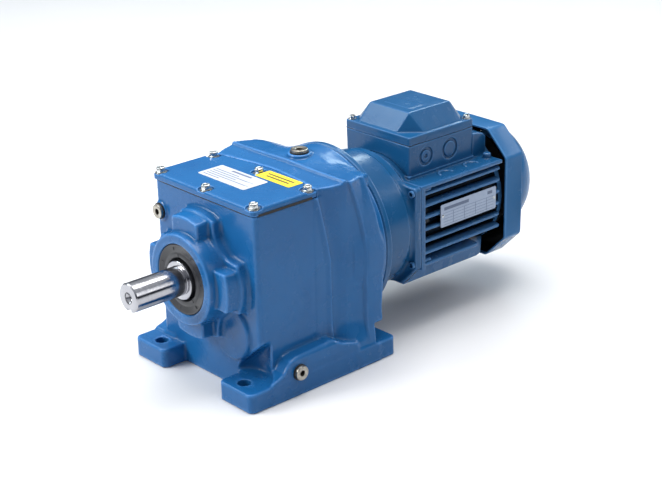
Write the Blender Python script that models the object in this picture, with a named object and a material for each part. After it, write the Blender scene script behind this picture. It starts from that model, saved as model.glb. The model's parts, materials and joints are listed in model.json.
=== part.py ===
"""Foot-mounted in-line helical gear reducer with its flanged squirrel-cage motor.

+X is the side of the drain plug, +Y runs from the output shaft to the fan cowl, +Z is up.
The origin lies on the underside of the feet, below the shaft axis, midway between the foot holes.
Every length below is in millimetres; the helpers turn them into metres.
"""

import math

import bmesh
import bpy
from mathutils import Vector

# ---------------------------------------------------------------- driving dimensions
SHAFT_HEIGHT = 115.0

SHAFT_R, SHAFT_END, SHAFT_SHOULDER = 15.0, -165.4, -105.4
COLLAR_R = 20.0
KEYWAY_HALF, KEYWAY_DEPTH, KEYWAY_LENGTH = 4.0, 4.0, 45.0

HOUSING_HALF, HOUSING_FRONT, HOUSING_REAR = 79.0, -70.0, 88.0
BREATHER_SEAT, BREATHER_AT = 208.2, (0.0, 55.0)
LEVEL_PLUG_FACE, LEVEL_PLUG_AT = -71.4, (-71.0, 160.0)
DRAIN_PLUG_AT = (-34.9, 24.8)
REAR_RIM_R = 92.7
FOOT_OUTER, FOOT_INNER, FOOT_END, FOOT_HEIGHT = 95.7, 44.5, 97.5, 20.5
FOOT_HOLE_X, FOOT_HOLE_Y, FOOT_HOLE_R = 67.5, 82.5, 7.0
POCKET_R, POCKET_LOW, POCKET_RISE = 28.0, 24.0, 0.88
POCKET_WALL_TOP = 62.0
REAR_POCKET_FRONT, REAR_POCKET_TOP = 70.0, 42.0
BOSS_R, BOSS_FACE = 46.5, -103.4
LUG_R, LUG_FACE, LUG_HALF = 63.5, -95.0, 19.0

COVER_HALF, COVER_FRONT, COVER_REAR, COVER_REAR_ARCH = 80.0, -72.7, 8.1, 8.5
COVER_BOTTOM, COVER_TOP = 193.4, 200.75
COVER_BOLT_X, COVER_BOLT_Y = 73.2, (-65.9, 1.4)

MODULE = 2.0
PINION_1, WHEEL_1 = 24, 42      # motor pinion and layshaft gear
PINION_2, WHEEL_2 = 17, 49      # layshaft pinion and output wheel
CENTRE_DISTANCE = MODULE * (PINION_1 + WHEEL_1) / 2
LAY_ANGLE = math.radians(32)    # of the layshaft below the main axis, towards +X
LAY_X = CENTRE_DISTANCE * math.sin(LAY_ANGLE)
LAY_Z = SHAFT_HEIGHT - CENTRE_DISTANCE * math.cos(LAY_ANGLE)
STAGE_1 = (43.0, 63.0)
STAGE_2 = (-38.0, -12.0)
HELIX = math.radians(10)
BACKLASH = 0.35

FLANGE_R, FLANGE_REAR = 92.7, 96.5
BARREL_R, BARREL_REAR, PLATE_REAR = 76.0, 148.0, 157.0
FRAME_REAR = 284.0
FRAME_HALF, FRAME_ARM, FRAME_ROUND_R = 74.0, 47.0, 66.0
FIN_Z = (152.1, 138.7, 125.4, 112.1, 98.8, 85.5, 72.3)
FIN_THICK, SLOT_FRONT = 3.6, 163.0
BOX_HALF, BOX_FRONT, BOX_REAR = 49.0, 164.0, 261.0
BOX_FLOOR, BOX_INSIDE, BOX_TOP = 166.0, 185.5, 198.4
LID_RIM_TOP, LID_TOP, LID_TOP_HALF, LID_TOP_Y = 208.0, 227.4, 29.8, (182.9, 243.9)
COWL_FRONT, COWL_STEP, COWL_HALF, COWL_CORNER = 286.4, 314.4, 74.6, 47.0
COWL_END, COWL_END_R = 355.0, 49.0

MM = 0.001
AXIS = (0.0, SHAFT_HEIGHT)
LAY = (LAY_X, LAY_Z)

# ---------------------------------------------------------------- scene and materials
for old in list(bpy.data.objects):
    bpy.data.objects.remove(old)

SCENE = bpy.context.scene.collection

PALETTE = {
    "gearbox_paint": ((0.045, 0.19, 0.50), 0.35, 0.0),
    "motor_paint": ((0.05, 0.17, 0.38), 0.35, 0.0),
    "ground_steel": ((0.62, 0.62, 0.64), 0.25, 1.0),
    "gear_steel": ((0.42, 0.42, 0.44), 0.35, 1.0),
    "bearing_steel": ((0.70, 0.70, 0.72), 0.2, 1.0),
    "zinc": ((0.75, 0.76, 0.74), 0.3, 1.0),
    "nickel": ((0.66, 0.63, 0.56), 0.3, 1.0),
    "seal_rubber": ((0.03, 0.03, 0.035), 0.6, 0.0),
    "gasket": ((0.02, 0.02, 0.02), 0.8, 0.0),
    "label_white": ((0.85, 0.86, 0.88), 0.5, 0.0),
    "label_yellow": ((0.90, 0.72, 0.08), 0.5, 0.0),
    "plate": ((0.55, 0.60, 0.66), 0.35, 0.6),
    "lamination": ((0.22, 0.23, 0.25), 0.5, 1.0),
    "copper": ((0.75, 0.33, 0.12), 0.35, 1.0),
    "plastic": ((0.05, 0.05, 0.05), 0.5, 0.0),
}


def material(slot):
    found = bpy.data.materials.get(slot)
    if found:
        return found
    colour, roughness, metallic = PALETTE[slot]
    made = bpy.data.materials.new(slot)
    made.use_nodes = True
    shader = made.node_tree.nodes["Principled BSDF"]
    shader.inputs["Base Color"].default_value = (*colour, 1.0)
    shader.inputs["Roughness"].default_value = roughness
    shader.inputs["Metallic"].default_value = metallic
    made.diffuse_color = (*colour, 1.0)
    return made


# ---------------------------------------------------------------- joints' frames
def empty(name, x, y, z, parent=None):
    made = bpy.data.objects.new(name, None)
    made.location = Vector((x, y, z)) * MM
    made.parent = parent
    SCENE.objects.link(made)
    return made


MAIN = empty("main_axis", 0, 0, SHAFT_HEIGHT)
OUTPUT_TURNS = empty("output_spin_axis", 0, 0, 0, MAIN)
ROTOR_TURNS = empty("rotor_spin_axis", 0, 0, 0, MAIN)
LAYSHAFT_TURNS = empty("layshaft_spin_axis", LAY_X, 0, LAY_Z)


# ---------------------------------------------------------------- shape helpers
def finish(name, bm, slot=None, parent=None):
    """Turns a bmesh whose points are world millimetres into an object."""
    bmesh.ops.recalc_face_normals(bm, faces=bm.faces)
    mesh = bpy.data.meshes.new(name)
    origin = Vector((0, 0, 0))
    if parent is not None:
        step = parent
        while step is not None:
            origin = origin + step.location
            step = step.parent
    for vertex in bm.verts:
        vertex.co = vertex.co * MM - origin
    bm.to_mesh(mesh)
    bm.free()
    obj = bpy.data.objects.new(name, mesh)
    SCENE.objects.link(obj)
    obj.parent = parent
    if slot is None:
        obj.hide_render = True
        obj.display_type = "WIRE"
    else:
        mesh.materials.append(material(slot))
    return obj


def add_loft(bm, rings):
    """Closed skin through rings of equal point count, capped at both ends."""
    rows = [[bm.verts.new(Vector(point)) for point in ring] for ring in rings]
    count = len(rows[0])
    for low, high in zip(rows, rows[1:]):
        for i in range(count):
            j = (i + 1) % count
            bm.faces.new((low[i], low[j], high[j], high[i]))
    bm.faces.new(rows[0][::-1])
    bm.faces.new(rows[-1])


def along(outline, axis, at):
    """A 2D outline placed across an axis: X takes (y, z), Y takes (x, z), Z takes (x, y)."""
    if axis == "X":
        return [(at, a, b) for a, b in outline]
    if axis == "Y":
        return [(a, at, b) for a, b in outline]
    return [(a, b, at) for a, b in outline]


def prism(name, outline, axis, low, high, slot=None, parent=None):
    bm = bmesh.new()
    add_loft(bm, [along(outline, axis, low), along(outline, axis, high)])
    return finish(name, bm, slot, parent)


def circle(cx, cy, radius, count, turn=0.0):
    return [
        (cx + radius * math.cos(2 * math.pi * i / count + turn),
         cy + radius * math.sin(2 * math.pi * i / count + turn))
        for i in range(count)
    ]


def cylinder(name, centre, radius, low, high, count=24, axis="Y", slot=None, parent=None):
    return prism(name, circle(*centre, radius, count), axis, low, high, slot, parent)


def rounded(x0, y0, x1, y1, radius, steps=3):
    """Rectangle outline with rounded corners, anticlockwise."""
    corners = ((x1 - radius, y0 + radius, -90), (x1 - radius, y1 - radius, 0),
               (x0 + radius, y1 - radius, 90), (x0 + radius, y0 + radius, 180))
    points = []
    for cx, cy, start in corners:
        for i in range(steps + 1):
            a = math.radians(start + 90 * i / steps)
            points.append((cx + radius * math.cos(a), cy + radius * math.sin(a)))
    return points


def box(name, x0, y0, z0, x1, y1, z1, slot=None, parent=None):
    return prism(name, [(x0, y0), (x1, y0), (x1, y1), (x0, y1)], "Z", z0, z1, slot, parent)


def turned(name, centre, profile, count, slot=None, parent=None, axis="Y"):
    """Solid of revolution; profile is a closed list of (radius, position along the axis)."""
    bm = bmesh.new()
    rings = []
    for radius, at in profile:
        if radius < 1e-6:
            rings.append([bm.verts.new(along([centre], axis, at)[0])])
        else:
            outline = circle(*centre, radius, count)
            rings.append([bm.verts.new(point) for point in along(outline, axis, at)])
    for low, high in zip(rings, rings[1:] + rings[:1]):
        if len(low) == 1 and len(high) == 1:
            continue
        for i in range(count):
            j = (i + 1) % count
            if len(low) == 1:
                bm.faces.new((low[0], high[j], high[i]))
            elif len(high) == 1:
                bm.faces.new((low[i], low[j], high[0]))
            else:
                bm.faces.new((low[i], low[j], high[j], high[i]))
    return finish(name, bm, slot, parent)


def ring(name, centre, inner, outer, low, high, count, slot=None, parent=None, axis="Y"):
    profile = [(inner, low), (outer, low), (outer, high), (inner, high)]
    return turned(name, centre, profile, count, slot, parent, axis)


def shaft_profile(steps):
    """Profile of a solid stepped shaft from (radius, start, end) pieces in order."""
    profile = [(0.0, steps[0][1])]
    for radius, low, high in steps:
        profile += [(radius, low), (radius, high)]
    profile.append((0.0, steps[-1][2]))
    return profile


def boolean(target, tools, operation):
    """One exact Boolean of a target with one tool, or with several at once."""
    modifier = target.modifiers.new(f"{operation.lower()}_{tools[0].name}"[:60], "BOOLEAN")
    modifier.operation = operation
    modifier.solver = "EXACT"
    if len(tools) == 1:
        modifier.object = tools[0]
        return
    group = bpy.data.collections.new(f"{target.name}_tools_{len(target.modifiers)}")
    for tool in tools:
        group.objects.link(tool)
    modifier.operand_type = "COLLECTION"
    modifier.collection = group


def cut(target, *tools):
    boolean(target, tools, "DIFFERENCE")


def join(target, *tools):
    boolean(target, tools, "UNION")


def bevel(target, width, segments=1, angle=40):
    modifier = target.modifiers.new("edge_rounding", "BEVEL")
    modifier.width = width * MM
    modifier.segments = segments
    modifier.limit_method = "ANGLE"
    modifier.angle_limit = math.radians(angle)
    modifier.harden_normals = False


# ---------------------------------------------------------------- gears
def tooth_half_angle(radius, teeth, thin):
    """Half the angle that an involute tooth covers at a radius."""
    pitch_r = MODULE * teeth / 2
    base_r = pitch_r * math.cos(math.radians(20))
    pressure = math.radians(20)
    at = math.acos(min(1.0, base_r / max(radius, base_r)))
    involute = math.tan(pressure) - pressure
    return math.pi / (2 * teeth) - thin / (2 * pitch_r) + involute - (math.tan(at) - at)


def gear_outline(centre, teeth, turn):
    """Involute outline with two flank points on each side of a tooth, and one at its root."""
    pitch_r = MODULE * teeth / 2
    root_r, tip_r = pitch_r - 1.25 * MODULE, pitch_r + MODULE
    thin = BACKLASH / 2
    points = []
    for k in range(teeth):
        middle = turn + 2 * math.pi * k / teeth
        low_r = max(root_r + 0.35, pitch_r * math.cos(math.radians(20)) * 1.001)
        radii = (pitch_r - 0.1 * MODULE, tip_r)
        halves = [tooth_half_angle(r, teeth, thin) for r in radii]
        foot = min(tooth_half_angle(low_r, teeth, thin) * 1.03, math.pi / teeth * 0.93)
        side = [(root_r, foot)] + list(zip(radii, halves))
        for radius, half in side:
            a = middle - half
            points.append((centre[0] + radius * math.cos(a), centre[1] + radius * math.sin(a)))
        for radius, half in reversed(side):
            a = middle + half
            points.append((centre[0] + radius * math.cos(a), centre[1] + radius * math.sin(a)))
    return points


def gear(name, centre, teeth, turn, hand, low, high, slot, parent):
    """Helical gear blank about an axis along Y. turn is the angle of one tooth's middle at mid-width."""
    pitch_r = MODULE * teeth / 2
    twist = hand * math.tan(HELIX) / pitch_r
    middle = (low + high) / 2
    bm = bmesh.new()
    rings = []
    for at in (low, high):
        outline = gear_outline(centre, teeth, turn + twist * (at - middle))
        rings.append(along(outline, "Y", at))
    add_loft(bm, rings)
    return finish(name, bm, slot, parent)


# Angle in the XZ plane, from +X towards +Z, of the line from the main axis to the layshaft.
TO_LAY = math.atan2(LAY_Z - SHAFT_HEIGHT, LAY_X)
FROM_LAY = TO_LAY + math.pi
# A tooth of the small gear points along the line of centres; the large gear has a space there.
LARGE_1_TURN = FROM_LAY + math.pi / WHEEL_1
LARGE_2_TURN = TO_LAY + math.pi / WHEEL_2

# ---------------------------------------------------------------- gearbox housing
def block_section(at, half, base, top_half, corner, crown):
    """Section of the rear block: flared base, straight flanks, rounded corners, crowned top."""
    narrow = half - top_half
    side = [(base, 0.0), (half + 0.75 * (base - half), 30.0), (half, 112.0), (half - 0.10 * narrow, 140.0),
            (half - 0.40 * narrow, 165.0), (half - 0.75 * narrow, 184.0), (top_half, corner - 7.0),
            (top_half - 2.5, corner - 2.0), (top_half - 8.0, corner)]
    side += [(x, corner + (crown - corner) * (1 - (x / top_half) ** 2)) for x in (48.0, 16.0)]
    ring_points = side + [(-x, z) for x, z in reversed(side)]
    return along(ring_points, "Y", at)


def rim_section(at, half, top_half, top):
    """Section of the rear rim: narrow corners that stand out from the flange circle."""
    side = [(half, 0.0), (half, 30.0), (half, 112.0), (half - 1.2, 135.0), (half - 8.0, 160.0),
            (top_half + 5.0, 174.0), (top_half, top - 6.0), (top_half - 3.0, top), (56.0, top + 1.0),
            (40.0, top + 1.5), (14.0, top + 1.8)]
    ring_points = side + [(-x, z) for x, z in reversed(side)]
    return along(ring_points, "Y", at)


def cover_plan(grow, steps=3):
    """Outline of the cover, with its arched rear edge."""
    half, radius = COVER_HALF + grow, 7.0 + grow
    points = rounded(-half, COVER_FRONT - grow, half, COVER_REAR + grow, radius, steps)
    arch = []
    for i in range(1, 8):
        x = (half - radius) * (1 - i / 4)
        arch.append((x, COVER_REAR + grow + COVER_REAR_ARCH * (1 - (x / (half - radius)) ** 2)))
    split = 2 * (steps + 1)
    return points[:split] + arch + points[split:]


housing = prism(
    "gearbox_housing",
    rounded(-HOUSING_HALF, HOUSING_FRONT, HOUSING_HALF, 30.0, 6.0, 2),
    "Z", 0.0, 192.2, "gearbox_paint")

bm = bmesh.new()
add_loft(bm, [
    block_section(8.7, 78.6, 78.6, 78.6, 200.8, 203.0),
    block_section(22.0, 80.2, 82.0, 80.2, 201.4, 204.8),
    block_section(36.0, 84.0, 92.0, 84.0, 202.2, 206.4),
    block_section(42.0, 85.8, 94.5, 85.8, 202.4, 207.6),
    block_section(53.0, 87.6, 95.4, 86.8, 201.6, 207.6),
    block_section(62.0, 92.2, 95.4, 86.0, 200.6, 207.4),
    block_section(72.0, REAR_RIM_R, 93.5, 84.0, 198.6, 206.6),
    rim_section(80.0, REAR_RIM_R, 71.0, 195.0),
    rim_section(HOUSING_REAR, REAR_RIM_R, 68.0, 191.0),
])
rear_block = finish("housing_rear_block", bm)
bm = bmesh.new()
add_loft(bm, [along(circle(*AXIS, r, 48, 0.02), "Y", y)
              for r, y in ((87.5, 50.0), (88.0, 62.0), (REAR_RIM_R, 72.0), (REAR_RIM_R, HOUSING_REAR))])
rear_round = finish("housing_rear_round", bm)

foot_tools = []
for side in (-1, 1):
    x0, x1 = sorted((side * FOOT_INNER, side * FOOT_OUTER))
    foot_tools.append(prism(
        f"foot_pad_{'left' if side < 0 else 'right'}",
        rounded(x0, -FOOT_END, x1, FOOT_END, 7.0, 2), "Z", 0.0, FOOT_HEIGHT))
    a, b = sorted((side * 70.0, side * (FOOT_OUTER - 0.02)))
    rail = [(-72, 1.0), (46, 1.0), (44, 26), (39, 37), (34, 41), (-40, 41), (-46, 38),
            (-51, 31), (-57, 25.5), (-64, 22.5), (-72, 19)]
    foot_tools.append(prism(f"foot_rail_{'left' if side < 0 else 'right'}", rail, "X", a, b))

bm = bmesh.new()
add_loft(bm, [along(circle(*AXIS, r, 40), "Y", y)
              for r, y in ((52.0, -66.0), (BOSS_R, -84.0), (BOSS_R, BOSS_FACE + 1.5),
                           (BOSS_R - 1.5, BOSS_FACE))])
front_boss = finish("front_bearing_boss", bm)

lug_outline = []
for quarter in range(4):
    middle = math.pi / 2 * quarter
    reach = math.asin(LUG_HALF / LUG_R)
    for i in range(5):
        a = middle + reach * (i / 2 - 1)
        lug_outline.append((LUG_R * math.cos(a), SHAFT_HEIGHT + LUG_R * math.sin(a)))
    corner = middle + math.pi / 4
    inner = LUG_HALF * math.sqrt(2)
    lug_outline.append((inner * math.cos(corner), SHAFT_HEIGHT + inner * math.sin(corner)))
front_lugs = prism("front_boss_lugs", lug_outline, "Y", LUG_FACE, -66.0)
lay_boss = prism("layshaft_boss", circle(*LAY, 28.0, 28), "Y", -73.0, -60.0)
level_boss = prism("level_plug_boss", circle(*LEVEL_PLUG_AT, 9.0, 16), "Y", LEVEL_PLUG_FACE, -60.0)
breather_boss = prism("breather_boss", circle(*BREATHER_AT, 11.0, 20), "Z", 198.0, BREATHER_SEAT)
join(housing, rear_block, rear_round, *foot_tools, front_boss, front_lugs, lay_boss, level_boss,
     breather_boss)

# hollow: gear chamber, cover opening, first-stage chamber, adapter bore
chamber = prism("gear_chamber", rounded(-71.5, 11.0, 71.5, 178.0, 9.0, 2), "Y", -62.0, 40.0)
opening = prism("cover_opening", rounded(-65.5, -57.5, 65.5, -7.5, 8.0, 2), "Z", 170.0, 210.0)
stage_chamber = prism("first_stage_chamber", rounded(-80.0, 13.0, 80.0, 188.0, 26.0, 3), "Y", 34.0, 64.5)
adapter_bore = prism("adapter_bore", circle(*AXIS, 87.0, 48, 0.011), "Y", 64.0, 95.0)
cover_seat = prism("cover_seat", cover_plan(0.5), "Z", 192.2, 215.0)
cut(housing, chamber, opening, stage_chamber, adapter_bore, cover_seat)

# inner walls: bearing web, layshaft bearing boss, wall behind the front wrench pocket of the drain side
web = prism("bearing_web", rounded(-74.0, 77.0, 74.0, 153.0, 3.0, 1), "Y", -8.8, 8.8)
lay_inner_boss = prism("layshaft_inner_boss", circle(*LAY, 27.0, 24), "Y", -66.0, -41.7)
inner_walls, pockets = [web, lay_inner_boss], []
turns = [math.radians(a) for a in (70, 90, 110, 130, 150)]
wall = [(FOOT_HOLE_X + 34 * math.cos(a), -FOOT_HOLE_Y + 34 * math.sin(a)) for a in turns]
wall += [(38.0, -66.5), (75.5, -66.5), (75.5, -52.0)]
inner_walls.append(prism("pocket_wall_right", wall, "Z", 6.0, POCKET_WALL_TOP))
plan = circle(FOOT_HOLE_X, -FOOT_HOLE_Y, POCKET_R, 28)
bm = bmesh.new()
add_loft(bm, [along(plan, "Z", FOOT_HEIGHT),
              [(x, y, POCKET_LOW + POCKET_RISE * (x - FOOT_HOLE_X + POCKET_R)) for x, y in plan]])
pockets.append(finish("wrench_pocket_right", bm))
for side in (-1, 1):
    name = "left" if side < 0 else "right"
    x0, x1 = sorted((side * 54.5, side * 110.0))
    pockets.append(prism(f"rear_wrench_pocket_{name}", rounded(x0, REAR_POCKET_FRONT, x1, 115.0, 11.0, 3),
                         "Z", FOOT_HEIGHT, REAR_POCKET_TOP))
join(housing, *inner_walls)

bores = [
    cylinder("seal_bore", AXIS, 36.6, -110.0, -89.0, 36),
    cylinder("front_bearing_bore", AXIS, 40.25, -90.0, -40.0, 36),
    cylinder("rear_bearing_bore", AXIS, 31.25, -20.0, 7.6, 32),
    cylinder("rear_bearing_clearance", AXIS, 27.0, 0.0, 20.0, 28),
    cylinder("layshaft_bearing_pocket", LAY, 21.25, -56.0, -40.0, 24),
    cylinder("level_plug_hole", LEVEL_PLUG_AT, 5.3, -90.0, -55.0, 12),
    cylinder("drain_plug_hole", DRAIN_PLUG_AT, 5.3, 66.0, 110.0, 12, "X"),
    cylinder("breather_hole", BREATHER_AT, 6.3, 180.0, 220.0, 12, "Z"),
    cylinder("front_circlip_groove", AXIS, 42.2, -71.5, -69.0, 36),
]
for x in (-1, 1):
    for y in (-1, 1):
        name = f"foot_hole_{'left' if x < 0 else 'right'}_{'front' if y < 0 else 'rear'}"
        bores.append(cylinder(name, (x * FOOT_HOLE_X, y * FOOT_HOLE_Y), FOOT_HOLE_R, -10.0, 30.0, 16, "Z"))

# ---------------------------------------------------------------- cover, gasket and cover bolts
cover = prism("inspection_cover", cover_plan(0.0), "Z", COVER_BOTTOM, COVER_TOP, "gearbox_paint")
bevel(cover, 1.2)
gasket = prism("cover_gasket", rounded(-78.6, -71.0, 78.6, 7.2, 6.0, 3), "Z", 192.5, 193.1, "gasket")

bolt_holes = []
for row, y in zip(("front", "rear"), COVER_BOLT_Y):
    for place, x in (("left", -COVER_BOLT_X), ("middle", 0.0), ("right", COVER_BOLT_X)):
        hole = cylinder(f"cover_bolt_hole_{row}_{place}", (x, y), 2.8, 176.0, 206.0, 8, "Z")
        bolt_holes.append(hole)
        bm = bmesh.new()
        add_loft(bm, [along(circle(x, y, 2.5, 8), "Z", z) for z in (180.0, COVER_TOP + 0.5)])
        shank = finish(f"cover_bolt_shank_{row}_{place}", bm)
        head = prism(f"cover_bolt_{row}_{place}", circle(x, y, 4.6, 6), "Z",
                     COVER_TOP + 0.3, COVER_TOP + 3.9, "zinc")
        join(head, shank)
cut(housing, *pockets, *bores, *bolt_holes)
cut(cover, *bolt_holes)
cut(gasket, prism("gasket_window", rounded(-64, -56, 64, -9, 7.0, 2), "Z", 190.0, 196.0), *bolt_holes)

label_z = COVER_TOP + 0.15
box("cover_data_label", -42.0, -44.0, label_z, 31.0, -12.0, label_z + 0.3, "label_white")
box("cover_caution_label", 5.6, -8.6, label_z, 57.0, 10.6, label_z + 0.3, "label_yellow")


# ---------------------------------------------------------------- screw plugs and their sealing rings
def plug(name, centre, axis, face, outward, head_r, shank_r, head, shank, washer):
    """Low round-headed hexagon-socket plug with a sealing ring under its head."""
    lift = outward * (washer + 0.15)
    low, high = sorted((face + lift, face + lift + outward * head))
    body = cylinder(name, centre, head_r, low, high, 20, axis, "nickel")
    a, b = sorted((face + lift + outward * 0.5, face - outward * shank))
    join(body, cylinder(f"{name}_shank", centre, shank_r, a, b, 12, axis))
    a, b = sorted((face + lift + outward * (head + 1), face + lift + outward * (head - 6.0)))
    cut(body, cylinder(f"{name}_socket", centre, 3.0, a, b, 6, axis))
    a, b = sorted((face + outward * 0.1, face + outward * washer))
    ring(f"{name}_seal_ring", centre, shank_r + 0.5, head_r + 0.9, a, b, 20, "gasket", None, axis)
    return body


plug("level_plug", LEVEL_PLUG_AT, "Y", LEVEL_PLUG_FACE, -1, 7.6, 5.0, 3.0, 14.0, 1.6)
plug("drain_plug", DRAIN_PLUG_AT, "X", FOOT_OUTER, 1, 7.6, 5.0, 3.0, 14.0, 1.6)
plug("breather_plug", BREATHER_AT, "Z", BREATHER_SEAT, 1, 9.0, 6.0, 2.6, 13.0, 1.4)

# ---------------------------------------------------------------- output shaft group
output_shaft = turned("output_shaft", AXIS, shaft_profile([
    (SHAFT_R - 1.6, SHAFT_END, SHAFT_END), (SHAFT_R, SHAFT_END + 1.6, SHAFT_SHOULDER - 0.8),
    (SHAFT_R + 0.8, SHAFT_SHOULDER, SHAFT_SHOULDER), (COLLAR_R - 0.6, SHAFT_SHOULDER, SHAFT_SHOULDER),
    (COLLAR_R, SHAFT_SHOULDER + 0.6, -71.7), (24.0, -71.7, STAGE_2[0] - 0.3),
    (21.0, STAGE_2[0] - 0.3, -11.0), (18.0, -11.0, -8.3), (14.9, -8.3, 9.5),
])[1:-1] + [(0.0, 9.5), (0.0, SHAFT_END + 22.0), (4.25, SHAFT_END + 19.5), (4.25, SHAFT_END + 4.0),
            (5.6, SHAFT_END)], 24, "ground_steel", OUTPUT_TURNS)
cut(output_shaft, box("output_shaft_keyway", -KEYWAY_HALF, SHAFT_END - 5.0, SHAFT_HEIGHT - SHAFT_R - 5.0,
                      KEYWAY_HALF, SHAFT_END + KEYWAY_LENGTH, SHAFT_HEIGHT - SHAFT_R + KEYWAY_DEPTH),
    box("output_shaft_key_slot", -6.2, STAGE_2[0] + 2.7, SHAFT_HEIGHT + 16.0,
        6.2, STAGE_2[1] - 2.7, SHAFT_HEIGHT + 30.0))
output_wheel = gear("output_wheel", AXIS, WHEEL_2, LARGE_2_TURN, -1, *STAGE_2, "gear_steel", OUTPUT_TURNS)
cut(output_wheel,
    cylinder("output_wheel_bore", AXIS, 21.3, -60.0, 10.0, 28),
    ring("output_wheel_recess_front", AXIS, 30.0, 41.0, STAGE_2[0] - 5, STAGE_2[0] + 5, 20),
    ring("output_wheel_recess_rear", AXIS, 30.0, 41.0, STAGE_2[1] - 5, STAGE_2[1] + 5, 20),
    box("output_wheel_key_slot", -6.2, -60.0, SHAFT_HEIGHT + 15.0, 6.2, 10.0, SHAFT_HEIGHT + 25.0))
box("output_wheel_key", -5.9, STAGE_2[0] + 3.0, SHAFT_HEIGHT + 16.3, 5.9, STAGE_2[1] - 3.0,
    SHAFT_HEIGHT + 24.4, "gear_steel", OUTPUT_TURNS)


def bearing(name, centre, bore_r, outer_r, low, high, inner_parent, balls=0, count=28):
    """Deep-groove bearing rings, and its caged row of balls where asked for."""
    section = (outer_r - bore_r) / 3.2
    middle = (low + high) / 2
    groove = section * 0.45
    r1, r2 = outer_r - section, bore_r + section
    outer = [(r1, low), (outer_r, low), (outer_r, high), (r1, high)]
    inner = [(bore_r, low), (r2, low), (r2, high), (bore_r, high)]
    if balls:
        outer.append((r1 + groove, middle))
        inner.insert(2, (r2 - groove, middle))
    turned(f"{name}_outer_ring", centre, outer, count, "bearing_steel")
    turned(f"{name}_inner_ring", centre, inner, count, "bearing_steel", inner_parent)
    if not balls:
        return
    pitch = (bore_r + outer_r) / 2
    ball_r = (r1 - r2) / 2 + groove * 0.55
    cage = ring(f"{name}_ball_cage", centre, pitch - section * 0.2, pitch + section * 0.2,
                middle - ball_r * 0.5, middle + ball_r * 0.5, 24, "bearing_steel", inner_parent)
    for i in range(balls):
        a = 2 * math.pi * (i + 0.5) / balls
        bm = bmesh.new()
        bmesh.ops.create_uvsphere(bm, u_segments=6, v_segments=4, radius=ball_r)
        move = Vector((centre[0] + pitch * math.cos(a), middle, centre[1] + pitch * math.sin(a)))
        for vertex in bm.verts:
            vertex.co += move
        join(cage, finish(f"{name}_ball_{i + 1}", bm))


bearing("output_front_bearing", AXIS, 20.15, 39.95, -89.7, -71.9, OUTPUT_TURNS, 9, 32)
bearing("output_rear_bearing", AXIS, 15.2, 30.95, -8.0, 7.3, OUTPUT_TURNS)
clip = ring("front_bearing_circlip", AXIS, 36.5, 41.6, -71.3, -69.2, 32, "gear_steel")
cut(clip, box("front_bearing_circlip_gap", -5, -80, SHAFT_HEIGHT - 60, 5, -60, SHAFT_HEIGHT - 20))
turned("output_shaft_seal", AXIS, [
    (COLLAR_R + 0.25, -97.0), (26.0, -93.5), (33.5, -93.5), (33.5, -90.3), (36.2, -90.3), (36.2, -102.4),
    (25.4, -102.4), (21.6, -101.0)], 32, "seal_rubber")

# ---------------------------------------------------------------- layshaft group
layshaft = gear("layshaft", LAY, PINION_2, FROM_LAY, 1, *STAGE_2, "gear_steel", LAYSHAFT_TURNS)
join(layshaft,
     turned("layshaft_journals_front", LAY, shaft_profile([
         (7.35, -55.2, -41.5), (12.0, -41.5, -37.0)]), 20),
     turned("layshaft_journals_rear", LAY, shaft_profile([
         (13.0, -13.0, STAGE_1[0] - 0.3), (11.0, STAGE_1[0] - 0.3, 65.0), (9.0, 65.0, 70.4),
         (7.35, 70.4, 81.4)]), 20))
cut(layshaft, box("layshaft_key_slot", LAY_X - 3.2, STAGE_1[0] + 2.7, LAY_Z + 7.5,
                  LAY_X + 3.2, STAGE_1[1] - 2.7, LAY_Z + 20))
lay_gear = gear("layshaft_gear", LAY, WHEEL_1, LARGE_1_TURN, -1, *STAGE_1, "gear_steel", LAYSHAFT_TURNS)
cut(lay_gear,
    cylinder("layshaft_gear_bore", LAY, 11.25, 30.0, 75.0, 20),
    ring("layshaft_gear_recess_front", LAY, 19.0, 36.0, STAGE_1[0] - 4, STAGE_1[0] + 4, 20),
    ring("layshaft_gear_recess_rear", LAY, 19.0, 36.0, STAGE_1[1] - 4, STAGE_1[1] + 4, 20),
    box("layshaft_gear_key_slot", LAY_X - 3.2, 30.0, LAY_Z + 7.0, LAY_X + 3.2, 75.0, LAY_Z + 14.0))
box("layshaft_gear_key", LAY_X - 2.9, STAGE_1[0] + 3.0, LAY_Z + 7.8, LAY_X + 2.9, STAGE_1[1] - 3.0,
    LAY_Z + 13.6, "gear_steel", LAYSHAFT_TURNS)
bearing("layshaft_front_bearing", LAY, 7.6, 20.95, -55.4, -42.4, LAYSHAFT_TURNS, 0, 24)
bearing("layshaft_rear_bearing", LAY, 7.6, 17.2, 70.7, 81.4, LAYSHAFT_TURNS, 0, 24)

# ---------------------------------------------------------------- adapter between gearbox and motor
adapter = turned("motor_adapter_flange", AXIS, [
    (15.0, 70.6), (86.6, 70.6), (86.6, 87.7), (30.0, 87.7), (30.0, 83.0), (15.0, 83.0)], 44, "gearbox_paint")
cut(adapter,
    cylinder("input_seal_bore", AXIS, 20.3, 60.0, 80.5, 24),
    cylinder("layshaft_rear_bearing_pocket", LAY, 17.5, 60.0, 82.0, 24))
turned("input_shaft_seal", AXIS, [
    (12.65, 74.0), (16.5, 77.2), (18.6, 77.2), (18.6, 80.2), (20.0, 80.2), (20.0, 71.0), (14.0, 71.0)],
    24, "seal_rubber")


# ---------------------------------------------------------------- motor
def frame_outline(half, arm):
    """Section of the motor: a wide slab with a narrower one below it."""
    z = SHAFT_HEIGHT
    return [(half, z - arm), (half, z + arm), (-half, z + arm), (-half, z - arm), (-arm, z - arm),
            (-arm, z - half + 2.0), (arm, z - half + 2.0), (arm, z - arm)]


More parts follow.
